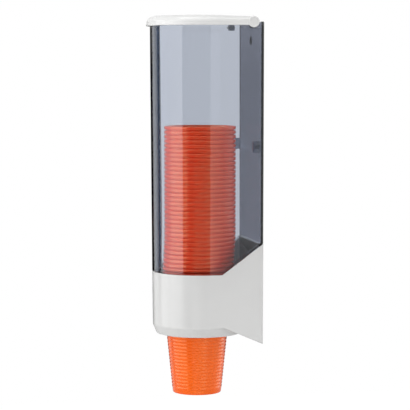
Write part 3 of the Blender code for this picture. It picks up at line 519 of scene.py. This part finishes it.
magazine = {"wall": 2.6, "corner": 3.0, "edge": 0.45, "top": 304.6, "rise": 1.3, "riseStart": -4.5,
            "riseLength": 0.4, "foot": 49.3, "footEdge": 0.4, "gap": 0.3, "step": 0.3, "spigot": 2.3,
            "spigotWall": 2.4, "spigotCorner": 2.8, "lap": 3.0}
guideRib = {"half": 1.0, "beadCentre": 40.35, "bead": 2.0, "draft": 1.33, "inwards": 1.3, "inwardsOver": 50}
lug = {"radius": 3.2, "foot": 6.4, "hole": 2.3, "thickness": 2.0, "edge": 0.25, "steps": 48}
tab = {"depth": 7.8, "height": 11.3, "thickness": 2.2, "corner": 0.8, "edge": 0.3,
       "x": 45.3, "y": -7.1, "z": 185.25}
boss = {"radius": 3.2, "bore": 1.4, "start": -1.3, "end": 6.2, "edge": 0.2, "y": -3.6}
wallHole = {"radius": 3.35, "reach": 6, "y": -1.3, "z": 288.5}

# The front arc has a closer band of columns for the rib, in degrees
arcSteps, ribSteps, legSteps = 60, 25, 4
arcParts = [(180, 267.6, arcSteps), (268.45, 271.55, ribSteps), (272.4, 360, arcSteps)]
ribbedShares = planShares(np.concatenate([np.linspace(*part) for part in arcParts]))
ribColumns = slice(arcSteps, arcSteps + ribSteps)


def ribOutline(wallRadius, flare):
    # The guide rib's outline from the wall in and back: a leg at x = -half, the bead's arc
    # (bead cos t, beadCentre + bead sin t) and a leg at x = +half. Flare moves the bead inwards.
    half, bead, centre = guideRib["half"], guideRib["bead"], guideRib["beadCentre"] - flare
    neck = math.acos(half / bead)
    turn = np.linspace(math.pi - neck, 2 * math.pi + neck, ribSteps - 2 * legSteps)
    leg = np.linspace(wallRadius, centre + bead * math.sin(neck), legSteps + 1)[:-1]
    x = np.concatenate([np.full(legSteps, -half), bead * np.cos(turn), np.full(legSteps, half)])
    r = np.concatenate([leg, centre + bead * np.sin(turn), leg[::-1]])
    return x, -axisToWall - r


def magazineTop(y):
    # The rim: top, and higher by rise from riseStart on over riseLength.
    share = np.clip((y - magazine["riseStart"]) / magazine["riseLength"], 0, 1)
    return magazine["top"] + magazine["rise"] * share


def magazineRows():
    # Rows over the rim, down the outside to the seam, round the spigot and up the inside, where
    # the rib's columns move by amount from the wall onto the rib's outline.
    m = magazine
    edge, step, footEdge, lapLine = m["edge"], m["step"], m["footEdge"], lambda y: seamLine(y) + m["lap"]
    footLine = level(m["foot"])

    def outer(line, depth, lift):
        # A row of the magazine's own wall
        return wallRow(ribbedShares, magazineRadius, line, depth, m["corner"], lift)

    def spigot(line, depth, lift):
        # A row of the spigot, which lies spigot inside the base's wall
        corner = m["spigot"] + m["spigotCorner"]
        return wallRow(ribbedShares, baseRadius, line, m["spigot"] + depth, corner, lift)

    rows = [outer(magazineTop, m["wall"] - edge, 0), outer(magazineTop, edge, 0),
            outer(magazineTop, edge * 0.3, -edge * 0.3), outer(magazineTop, 0, -edge)]
    for share in np.linspace(0.02, 0.98, 14):  # the outer face, from the top down to the seam
        rows.append(outer(lambda y: magazineTop(y) * (1 - share) + seamLine(y) * share, 0, 0))
    rows += [outer(seamLine, 0, m["gap"] + step), outer(seamLine, step, m["gap"]),
             spigot(seamLine, 0, m["gap"]), spigot(footLine, 0, footEdge), spigot(footLine, footEdge, 0),
             spigot(footLine, m["spigotWall"] - footEdge, 0), spigot(footLine, m["spigotWall"], footEdge),
             spigot(lapLine, m["spigotWall"], -step), spigot(lapLine, m["spigotWall"] - step, 0),
             outer(lapLine, m["wall"], 0)]
    # Height share, how much of the rib stands there, and its flare towards the foot
    ribLevels = [(0.002, 0, 1.5), (0.004, 1, 1.5), (0.012, 1, 1.5), (0.020, 1, 1.2), (0.030, 1, 0.55),
                 (0.036, 1, 0.1), (0.04, 1, 0)]
    ribLevels += [(share, 1, 0) for share in np.linspace(0.1, 0.98, 12)] + [(0.990, 1, 0), (0.992, 0, 0)]
    for share, amount, flare in ribLevels:
        row = outer(lambda y: lapLine(y) * (1 - share) + magazineTop(y) * share, m["wall"], 0)
        x, y = ribOutline(-axisToWall - row[ribColumns, 1].mean(), flare)
        z = row[ribColumns, 2]
        drafted = (magazineRadius(z) - magazineRadius(planHeight)) * guideRib["draft"]
        inwards = guideRib["inwards"] * np.clip((z - seam["front"]) / guideRib["inwardsOver"], 0, 1)
        target = np.column_stack([x, y - drafted + inwards, z])
        row[ribColumns] = row[ribColumns] * (1 - amount) + target * amount
        rows.append(row)
    rows.append(outer(magazineTop, m["wall"], -edge))
    return rows


def lugOutline():
    # Distance r(t) from the pivot to the lug's edge: a half circle above, straight legs down to its
    # foot. The hole is a circle with matching points.
    t = np.linspace(0, 2 * math.pi, lug["steps"], endpoint=False)
    c, s = np.cos(t), np.sin(t)
    down = np.minimum(lug["radius"] / np.maximum(np.abs(c), 1e-6), lug["foot"] / np.maximum(np.abs(s), 1e-6))
    r = np.where(s >= 0, lug["radius"], down)
    return np.column_stack([r * c, r * s]), np.column_stack([lug["hole"] * c, lug["hole"] * s])


def ringPlate(outline, hole, thickness, edge):
    # A plate with a hole: outline and hole have matching points, and the outline's edges are eased.
    half = thickness / 2
    rows = []
    for shape, inset, h in ((outline, edge, -half), (outline, 0, -half + edge), (outline, 0, half - edge),
                            (outline, edge, half), (hole, 0, half), (hole, 0, -half)):
        reach = np.linalg.norm(shape, axis=1, keepdims=True)
        rows.append(np.column_stack([shape * (1 - inset / reach), np.full(len(shape), h)]))
    return skin(rows)


def buildMagazine():
    # The drafted shell from its rows, the screw hole cut out of it, and lugs, tabs and bosses in pairs.
    shell = makePiece("smokedMagazine", skin(magazineRows()), smoked, "housing", "smoked_plastic",
                      ["smoked_magazine"], 35)
    shell.visible_shadow = False
    radius, reach = wallHole["radius"], wallHole["reach"]
    hole = turned(rounded([(0, reach), (radius, reach), (radius, -reach), (0, -reach)], 0.01, 1), 40)
    cutHoles(shell, [cutterFrom(placed(hole, alongY, (0, wallHole["y"], wallHole["z"])))])
    # Hinge lugs, upright plates whose outline lies in the YZ plane
    plate = ringPlate(*lugOutline(), lug["thickness"], lug["edge"])
    lugs = [placed(plate, alongX, (side * hinge["lug"], hinge["y"], hinge["z"])) for side in (-1, 1)]
    # Tabs inside the two sides, near the wall
    blade = slab(roundedRectangle(tab["depth"], tab["height"], tab["corner"]), tab["thickness"], tab["edge"])
    tabs = [placed(blade, alongX, (side * tab["x"], tab["y"], tab["z"])) for side in (-1, 1)]
    # Bosses for the two screws from behind
    corners = [(boss["radius"], boss["start"]), (boss["radius"], boss["end"]), (boss["bore"], boss["end"]),
               (boss["bore"], boss["start"])]
    tube = turned(rounded(corners, boss["edge"], 2), 32)
    bosses = [placed(tube, fromWall, (side * fixing["x"], boss["y"], fixing["z"])) for side in (-1, 1)]
    # The lugs, tabs and bosses take the darker copy of the smoked plastic: painted shade
    for name, surfaces in (("hingeLugs", lugs), ("sideTabs", tabs), ("screwBosses", bosses)):
        piece = makePiece(name, surfaces, smokedPaintedShade, "housing", "smoked_plastic", ["smoked_magazine"])
        piece.visible_shadow = False


buildMagazine()
print("stage: magazine built")


# Base

inBase = (baseWhite, "housing", "white_plastic", ["base_housing"])  # what all its pieces share
base = {"wall": 2.0, "corner": 2.4, "edge": 0.45}
keyhole = {"head": 4.2, "slot": 2.3, "length": 9.0, "x": 24.0, "y": -1, "z": 27.0, "reach": 5}
sink = {"head": 2.7, "wider": 0.9, "shank": 1.35, "depth": 1.4, "lift": 0.1, "beyond": 1.0, "reach": 5}
outlet = {"y": -axisToWall - outletForward, "radius": 37.5, "wall": 2.0, "height": 30.3, "chamfer": 0.9}
foot = {"height": 8.37, "forward": 1.2, "meet": 39.6, "rounding": 0.3, "steps": 144}
floorPlate = {"radius": 45.0, "back": 1.5, "corner": 0.9, "opening": 43.9, "top": 11.9, "under": 9.9}
post = {"radius": 1.96, "bore": 1.1, "top": 30.2, "foot": 1.6, "edge": 0.25, "circle": 39.46,
        "angles": (45, 135, 225, 315)}
standRib = {"thickness": 1.6, "height": 39.0, "depth": 3.2, "x": 43.5, "y": (-33.2, -13.9), "z": 29.4}


def wallHoleCutters():
    # Keyholes, each a round head and an upright slot, and cones for the countersunk screws.
    reach, slotRadius = keyhole["reach"], keyhole["slot"]
    cutters = []
    for side in (-1, 1):
        head = turned([(0, reach), (keyhole["head"], reach), (keyhole["head"], -reach), (0, -reach)], 40)
        cutters.append(cutterFrom(placed(head, alongY, (side * keyhole["x"], keyhole["y"], keyhole["z"]))))
        outline = roundedRectangle(2 * slotRadius, keyhole["length"] + 2 * slotRadius, slotRadius - 0.01, 12)
        middle = keyhole["z"] + keyhole["length"] / 2
        slot = placed(slab(outline, 2 * reach, 0.01), alongY, (side * keyhole["x"], keyhole["y"], middle))
        cutters.append(cutterFrom(slot))
        low = -sink["depth"] - sink["beyond"]
        cone = turned([(0, sink["reach"]), (sink["shank"], sink["reach"]), (sink["shank"], -sink["lift"]),
                       (sink["head"] + sink["wider"], low), (0, low)], 32)
        mouth = (side * fixing["x"], -sink["depth"] - sink["lift"], fixing["z"])
        cutters.append(cutterFrom(placed(cone, fromWall, mouth)))
    return cutters


def buildFoot():
    # The chamfered foot and the throat, one wall. The foot's upper rim is round about the cup axis
    # and its lower rim lies a little forward, by forward (1 - z / height). The throat is round about
    # the outlet.
    slope = [(45.7, 11.0), (46.6, 11.0), (46.6, foot["height"]), (42.2, 0.6), (41.6, 0.0), (40.4, 0.0)]
    inner, outer = outlet["radius"], outlet["radius"] + outlet["wall"]
    wall = [(foot["meet"], 0.0), (inner + outlet["chamfer"], 0.0), (inner, outlet["chamfer"]),
            (inner, outlet["height"]), (outer, outlet["height"]), (outer, 2.0), (foot["meet"], 2.0)]
    throat = rounded(wall, foot["rounding"], 3)
    inside = [(40.0, 2.0), (40.2, 2.0), (44.6, floorPlate["under"])]
    angles = np.linspace(0, 2 * math.pi, foot["steps"], endpoint=False)
    rows = []
    for profile, y in ((rounded(slope, foot["rounding"], 3), -axisToWall), (throat, outlet["y"]),
                       (inside, -axisToWall)):
        for radius, z in profile:
            forward = 0 if profile is throat else foot["forward"] * max(1 - z / foot["height"], 0)
            rows.append(np.column_stack([radius * np.cos(angles), y - forward + radius * np.sin(angles),
                                         np.full(foot["steps"], z)]))
    makePiece("baseFoot", skin(rows), *inBase, 35)


def buildFloorPlate():
    # The floor between the round foot and the flat sides and back: two rings at two heights.
    x, y = planRing(evenShares, floorPlate["radius"], floorPlate["back"], floorPlate["corner"])
    turn = np.arctan2(y + axisToWall, x)
    edgeX, edgeY = floorPlate["opening"] * np.cos(turn), -axisToWall + floorPlate["opening"] * np.sin(turn)
    top, under = np.full_like(x, floorPlate["top"]), np.full_like(x, floorPlate["under"])
    rows = [np.column_stack(part) for part in ((x, y, top), (edgeX, edgeY, top), (edgeX, edgeY, under),
                                               (x, y, under))]
    makePiece("baseFloor", skin(rows), *inBase)


def buildBase():
    # The drafted wall between the seam and the lower edge, then the foot, floor, posts and ribs.
    wall, corner, edge = base["wall"], base["corner"], base["edge"]

    def row(line, depth, lift):
        # A row of the base's own wall
        return wallRow(evenShares, baseRadius, line, depth, corner, lift)

    rows = [row(seamLine, wall - edge, 0), row(seamLine, edge, 0), row(seamLine, edge * 0.3, -edge * 0.3),
            row(seamLine, 0, -edge)]
    for share in np.linspace(0.03, 0.97, 9):
        rows.append(row(lambda y: seamLine(y) * (1 - share) + lowerLine(y) * share, 0, 0))
    rows += [row(lowerLine, 0, edge), row(lowerLine, edge * 0.3, edge * 0.3), row(lowerLine, edge, 0),
             row(lowerLine, wall - edge, 0), row(lowerLine, wall, edge), row(seamLine, wall, -edge)]
    housing = makePiece("baseHousing", skin(rows), *inBase, 35)
    cutHoles(housing, wallHoleCutters())
    buildFoot()
    buildFloorPlate()

    # Posts under the clamp screws, and the ribs that the magazine stands on
    corners = [(post["bore"], post["top"]), (post["radius"], post["top"]), (post["radius"], post["foot"]),
               (post["bore"], post["foot"])]
    tube = turned(rounded(corners, post["edge"], 2), 28)
    circle = post["circle"]
    posts = [placed(tube, np.eye(3), (circle * math.cos(a), outlet["y"] + circle * math.sin(a), 0))
             for a in np.radians(post["angles"])]
    bar = slab(roundedRectangle(standRib["thickness"], standRib["height"], 0.3), standRib["depth"], 0.2)
    bars = [placed(bar, alongX, (side * standRib["x"], y, standRib["z"]))
            for side in (-1, 1) for y in standRib["y"]]
    makePiece("innerPosts", posts + bars, *inBase)


buildBase()
print("stage: base built")


# Lid

inLid = (lidWhite, "lid", "white_plastic", ["lid"])
lid = {"radius": 52.84, "skirt": 302.3, "round": 8.6, "roundHeight": 6.6, "roundSteps": 15, "bead": 0.35,
       "barrel": 5.5, "wall": 2.0, "crown": 312.18, "crownRise": 0.05, "corner": 2.4, "leastCorner": 0.5,
       "middle": 2.0, "narrow": 5}
lugSlot = {"depth": 9.8, "height": 24, "width": 3.2, "room": 3.5, "lift": 2}
lidRib = {"length": 4.6, "height": 3.4, "thickness": 1.6, "radius": 49.0, "z": 306.6,
          "angles": (-142, -112, -68, -38)}


def lidRows(inner):
    # Rows from the middle of the top out and down to the skirt. In front the edge is a quarter
    # ellipse: inset = round (1 - cos t), z = start + roundHeight sin t. At the rear it is the hinge
    # barrel, a circle about the hinge. A smooth step in y blends the heights between the two.
    wall = lid["wall"] if inner else 0.0
    radius, barrel = lid["radius"] - wall, lid["barrel"] - wall
    bead = 0.0 if inner else lid["bead"]
    top, skirt = lid["crown"] - wall, lid["skirt"]
    start = top - lid["crownRise"] - lid["roundHeight"]
    lowAngle = math.asin(max(-1.0, (skirt - hinge["z"]) / lid["barrel"]))
    # Inset from the skirt, height in front, and the barrel's angle
    levels = []
    for a in np.linspace(math.pi / 2, 0, lid["roundSteps"]):
        inset = lid["round"] * (1 - math.cos(a)) * (radius - lid["narrow"]) / (lid["radius"] - lid["narrow"])
        turn = lowAngle + (math.pi / 2 - lowAngle) * (0.40 + 0.60 * a / (math.pi / 2))
        levels.append((bead + inset, start + lid["roundHeight"] * math.sin(a), turn))
    if inner:
        skirtLevels = [(0, 303.6, 0.55), (0, skirt + 0.35, 1)]
    else:
        skirtLevels = [(bead, 304.9, 0.42), (bead * 0.85, 304.45, 0.5), (0.05, 304.05, 0.58),
                       (0, 303.5, 0.68), (0, 302.9, 0.8), (0.25, 302.45, 0.93), (0.7, skirt, 1)]
    levels += [(inset, z, lowAngle * share) for inset, z, share in skirtLevels]
    rows = []
    for inset, frontZ, angle in levels:
        back = -hinge["y"] - barrel * math.cos(angle)
        x, y = planRing(evenShares, radius - inset, back, max(lid["corner"] - wall, lid["leastCorner"]))
        rear = np.clip((y + axisToWall) / (axisToWall + hinge["y"]), 0, 1)
        rear = rear * rear * (3 - 2 * rear)
        rearZ = hinge["z"] + barrel * math.sin(angle)
        rows.append(np.column_stack([x, y, frontZ + (rearZ - frontZ) * rear]))
    # The top, drawn in to its middle with a faint crown
    middle = np.array([0, -axisToWall + lid["middle"], top])
    edgeRow = rows[0]
    crown = []
    for share in (0.12, 0.3, 0.5, 0.7, 0.88):
        ring = middle + (edgeRow - middle) * share
        rise = (1 - share) ** 1.6
        ring[:, 2] = edgeRow[:, 2] * (1 - rise) + middle[2] * rise
        crown.append(ring)
    return crown + rows, middle


def buildLid():
    # The dome from its outer and inner rows with room for the lugs, its ears, and its rest ribs.
    outerRows, outerMiddle = lidRows(False)
    innerRows, innerMiddle = lidRows(True)
    shell = skin(outerRows + innerRows[::-1], outerMiddle, innerMiddle)
    dome = makePiece("lidDome", shell, *inLid, 38)
    half, roomRadius = lugSlot["width"] / 2, lugSlot["room"]
    block = slab(roundedRectangle(lugSlot["depth"], lugSlot["height"], 0.05), lugSlot["width"], 0.02)
    room = turned([(0, half), (roomRadius, half), (roomRadius, -half), (0, -half)], 40)
    cutters = []
    for side in (-1, 1):
        x, y, z = side * hinge["lug"], hinge["y"], hinge["z"]
        cutters.append(cutterFrom(placed(block, alongX, (x, y + lugSlot["depth"] / 2, z + lugSlot["lift"]))))
        cutters.append(cutterFrom(placed(room, alongX, (x, y, z))))
    cutHoles(dome, cutters)

    # Ears, each a disc with a soft edge and a shallow dish, on its boss and pivot: radius and distance
    # from the middle. The left one is the right one mirrored in X
    corners = [(0, 53.05), (3.7, 53.05), (4.1, 53.33), (4.9, 53.33), (5.5, 52.8), (5.5, 50.95), (3.4, 50.95),
               (3.4, 49.5), (2.0, 49.5), (2.0, 46.8), (1.6, 46.6), (0, 46.6)]
    ear = turned(rounded(corners, 0.45, 4), 72)
    ears = [placed(ear, alongX * [[side], [1], [1]], (0, hinge["y"], hinge["z"])) for side in (-1, 1)]
    makePiece("lidEars", ears, *inLid, 38)

    # Rest ribs under the rounded edge, which carry the lid on the magazine's rim
    blade = slab(roundedRectangle(lidRib["length"], lidRib["height"], 0.3), lidRib["thickness"], 0.2)
    upright = placed(blade, fromWall, (lidRib["radius"], 0, lidRib["z"]))
    ribs = []
    for angle in np.radians(lidRib["angles"]):
        c, s = math.cos(angle), math.sin(angle)
        ribs.append(placed(upright, [[c, -s, 0], [s, c, 0], [0, 0, 1]], (0, -axisToWall, 0)))
    makePiece("lidRibs", ribs, *inLid)


buildLid()
print("stage: lid built")


# Cups

cup = {"count": 40, "height": 95.0, "body": 33.3, "slope": 0.10260, "wall": 0.14, "rimUnder": 91.6,
       "lowest": -59.503, "pitch": 4.337, "settled": 14, "apart": 0.2135, "bare": 2, "steps": 72,
       "ribPitch": 3.4, "ribDepth": 0.22, "ribBottom": 4.0, "ribTop": 61.8, "ribbedSteps": 160}


def cupRadius(z):
    # The outside narrows downwards: body - slope (rimUnder - z).
    return cup["body"] - cup["slope"] * (cup["rimUnder"] - z)


def cupProfile(ribbed):
    # From the middle of the cup's floor up the inside, over the rolled rim, down the outside and
    # back under the foot. Ribs swell the outside by depth (1 - cos(2 pi z / pitch)) / 2.
    wall, low = cup["wall"], cupRadius(0)
    inner = [(0, 0.9), (low - 4.5, 0.75), (low - 1.6, 0.62), (cupRadius(1.4) - wall - 0.25, 1.0)]
    inner += [(cupRadius(z) - wall, z) for z in (2.6, 40, 80, 93.2)]
    rim = [(33.35, 94.2), (33.7, 94.85), (34.3, cup["height"]), (34.8, 94.92), (35.12, 94.65),
           (35.25, 94.2), (35.25, 92.4), (35.13, 91.95), (34.8, 91.66), (34.3, cup["rimUnder"]),
           (33.7, 91.62), (33.3, 91.55)]
    if ribbed:
        z = np.linspace(cup["ribTop"], cup["ribBottom"], 205)
        swell = cup["ribDepth"] * (1 - np.cos(2 * math.pi * (z - cup["ribBottom"]) / cup["ribPitch"])) / 2
        outer = [(cupRadius(76), 76)] + list(zip(cupRadius(z) + swell, z)) + [(cupRadius(2.0), 2.0)]
        under = [(low - 1.1, 0.05), (low - 1.6, 0.4), (low - 5.0, 0.5), (0, 0.55)]
    else:
        outer = [(cupRadius(z), z) for z in (70, 40, 10, 2.0)]
        under = [(low - 1.2, 0.05), (low - 1.8, 0.45), (0, 0.45)]
    return np.array(inner + rim + outer + [(cupRadius(0.5) - 0.02, 0.5), (low - 0.35, 0.0)] + under)


def buildCups():
    # Each cup hangs a pitch above the one before. From the outlet's axis each also lies a little
    # further back, as far as the one called settled: apart min(index, settled).
    plain, ribbed = cupProfile(False), cupProfile(True)
    for index in range(cup["count"]):
        name = f"cup_{index + 1:02d}"
        forward = outletForward - cup["apart"] * min(index, cup["settled"])
        place = (0, -axisToWall - forward, cup["lowest"] + index * cup["pitch"])
        if index == 0:
            surface, body = turned(ribbed, cup["ribbedSteps"], place), "lowest_cup"
        else:
            surface, body = turned(plain, cup["steps"], place), "cup_column"
        # The second cup hangs out of the base once the lowest is drawn, so it has the same colour
        material = lowestOrange if index < cup["bare"] else stackOrangePaintedLight
        makePiece(name + "_shown", surface, material, body, "cup_plastic", [name], 50)


buildCups()
print("stage: cups built")


# Rings and screws, whose CAD shapes are right


def dress(node, material):
    # Gives a CAD node the material in place of its own.
    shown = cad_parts[node]
    shown.data.materials.clear()
    shown.data.materials.append(material)


rubber, steel = elastomer(), zincSteel()
dress("retaining_ring", rubber)
dress("clamp_ring", clampWhite)
for name in ("clamp_screw_1", "clamp_screw_2", "clamp_screw_3", "clamp_screw_4", "magazine_screw_left",
             "magazine_screw_right"):
    dress(name, steel)
print("stage: rings and screws dressed")


# Studio

# gloss is the brightness in reflections, by the angle from the camera's side round to the right
studio = {"world": 0.225, "overhead": 0.9, "overheadFrom": 0.15, "floor": -0.45, "floorHalf": 2.0,
          "floorPaint": 0.9, "floorRoughness": 0.9, "mirroredFloor": 0.5, "ownWhite": 0.85,
          "ownStrength": 1.13,
          "gloss": [(-180, 0.0), (-147, 0.0), (-142, 1.1), (-123, 1.1), (-116, 0.04), (-45, 0.05), (18, 0.05),
                    (105, 0.05), (124, 0.7), (138, 0.7), (146, 0.0), (180, 0.0)]}
camera = {"azimuth": 78.47, "distance": 1.72296, "height": 0.2565, "pitch": 4.32, "lens": 153.33,
          "shift": 0.01254, "sensor": 36.0, "clip": (0.05, 20)}
# Degrees from the camera's azimuth, elevation, distance, width and height, power and the point faced
sideAim, lowAim = (0, -0.05, 0.36), (0, -0.05, 0.15)
lamps = {"leftBox": (-74, 0, 1.5, (1.95, 1.6), 20.5, sideAim),
         "rightBox": (60, 0, 1.5, (2.3, 1.6), 9.6, sideAim),
         "rearBox": (113, 0, 1.5, (0.9, 1.6), 6.5, sideAim),
         "topBox": (-20, 74, 1.4, (1.2, 1.2), 13.5, lowAim),
         "lowBox": (12, -27, 1.1, (1.2, 0.5), 2.7, lowAim)}


def clearView(tree, bounces):
    # 1 for what the camera sees directly or through clear plastic alone: a camera or transmission
    # ray that has bounced off nothing, ray depth - transmission depth < bounces. Also gives 1 for
    # what is seen in a reflection.
    rays = tree.nodes.new("ShaderNodeLightPath")
    seen = mathNode(tree, "MAXIMUM", rays.outputs["Is Camera Ray"], rays.outputs["Is Transmission Ray"])
    turns = mathNode(tree, "SUBTRACT", rays.outputs["Ray Depth"], rays.outputs["Transmission Depth"])
    clear = mathNode(tree, "MULTIPLY", seen, mathNode(tree, "LESS_THAN", turns, bounces))
    return clear, mathNode(tree, "GREATER_THAN", rays.outputs["Glossy Depth"], 0.5)


def buildWorld():
    # White where it is seen directly or through clear plastic alone, panels and dark gaps in
    # reflections, and an even soft light for all else.
    world = bpy.data.worlds.new("studio")
    bpy.context.scene.world = world
    world.use_nodes = True
    tree = world.node_tree
    light = tree.nodes["Background"]
    light.inputs["Color"].default_value = (1, 1, 1, 1)
    way = tree.nodes.new("ShaderNodeSeparateXYZ")
    tree.links.new(tree.nodes.new("ShaderNodeTexCoord").outputs["Generated"], way.inputs["Vector"])
    # The direction's angle from the camera's side, and its share of the full turn
    around = mathNode(tree, "ARCTAN2", way.outputs["X"], mathNode(tree, "MULTIPLY", way.outputs["Y"], -1.0))
    around = mathNode(tree, "SUBTRACT", around, math.radians(camera["azimuth"]))
    around = mathNode(tree, "WRAP", around, math.pi, -math.pi)
    share = mathNode(tree, "MULTIPLY_ADD", around, 0.5 / math.pi, 0.5)
    panels = ramped(tree, share, [((angle + 180) / 360, (value,) * 3) for angle, value in studio["gloss"]])
    high = mapped(tree, way.outputs["Z"], (0.0, studio["overheadFrom"]))
    gloss = blended(tree, high, panels, studio["overhead"])
    clear, reflected = clearView(tree, 1.5)
    strength = blended(tree, clear, blended(tree, reflected, studio["world"], gloss), 1.0)
    tree.links.new(strength, light.inputs["Strength"])


def buildFloor():
    # A plain pale floor, no larger than it has to be, so that the magazine's edge doesn't mirror it.
    material = bpy.data.materials.new("floor")
    material.use_nodes = True
    tree = material.node_tree
    paint = tree.nodes["Principled BSDF"]
    paint.inputs["Base Color"].default_value = (*[studio["floorPaint"]] * 3, 1)
    paint.inputs["Roughness"].default_value = studio["floorRoughness"]
    clear, reflected = clearView(tree, 0.5)
    # Dim in reflections. Seen by the camera it is mostly a white of its own, and the lit share of it
    # keeps the object's shadow.
    result = paint.outputs["BSDF"]
    for factor, strength in ((reflected, studio["mirroredFloor"]),
                             (mathNode(tree, "MULTIPLY", clear, studio["ownWhite"]), studio["ownStrength"])):
        own = tree.nodes.new("ShaderNodeEmission")
        own.inputs["Strength"].default_value = strength
        mix = tree.nodes.new("ShaderNodeMixShader")
        tree.links.new(factor, mix.inputs["Fac"])
        tree.links.new(result, mix.inputs[1])
        tree.links.new(own.outputs["Emission"], mix.inputs[2])
        result = mix.outputs["Shader"]
    tree.links.new(result, tree.nodes["Material Output"].inputs["Surface"])
    mesh = bpy.data.meshes.new("floor")
    size, z = studio["floorHalf"], studio["floor"]
    corners = [(-size, -size, z), (size, -size, z), (size, size, z), (-size, size, z)]
    mesh.from_pydata(corners, [], [(0, 1, 2, 3)])
    mesh.materials.append(material)
    floor = bpy.data.objects.new("floor", mesh)
    bpy.context.scene.collection.objects.link(floor)


def softbox(name, azimuth, elevation, distance, size, power, aim):
    # An area light that faces aim from distance away, along
    # (sin a cos e, -cos a cos e, sin e) for its azimuth a and elevation e.
    a, e = math.radians(azimuth), math.radians(elevation)
    back = Vector((math.sin(a) * math.cos(e), -math.cos(a) * math.cos(e), math.sin(e)))
    data = bpy.data.lights.new(name, "AREA")
    data.shape, data.size, data.size_y, data.energy = "RECTANGLE", size[0], size[1], power
    lamp = bpy.data.objects.new(name, data)
    bpy.context.scene.collection.objects.link(lamp)
    lamp.visible_camera = False
    lamp.location = Vector(aim) + back * distance
    lamp.rotation_mode = "QUATERNION"
    lamp.rotation_quaternion = (-back).to_track_quat("-Z", "Y")


def buildCamera():
    # distance from the cup axis at the azimuth, and tilted down by pitch.
    a, distance = math.radians(camera["azimuth"]), camera["distance"]
    data = bpy.data.cameras.new("camera")
    data.sensor_width, data.lens, data.shift_x = camera["sensor"], camera["lens"], camera["shift"]
    data.clip_start, data.clip_end = camera["clip"]
    seat = bpy.data.objects.new("camera", data)
    bpy.context.scene.collection.objects.link(seat)
    seat.location = (distance * math.sin(a), -axisToWall * mm - distance * math.cos(a), camera["height"])
    seat.rotation_euler = (math.radians(90 - camera["pitch"]), 0, a)
    bpy.context.scene.camera = seat


buildWorld()
buildFloor()
for name, (azimuth, *rest) in lamps.items():
    softbox(name, camera["azimuth"] + azimuth, *rest)
buildCamera()
bpy.context.scene.view_settings.view_transform = "Standard"
print("stage: studio built")
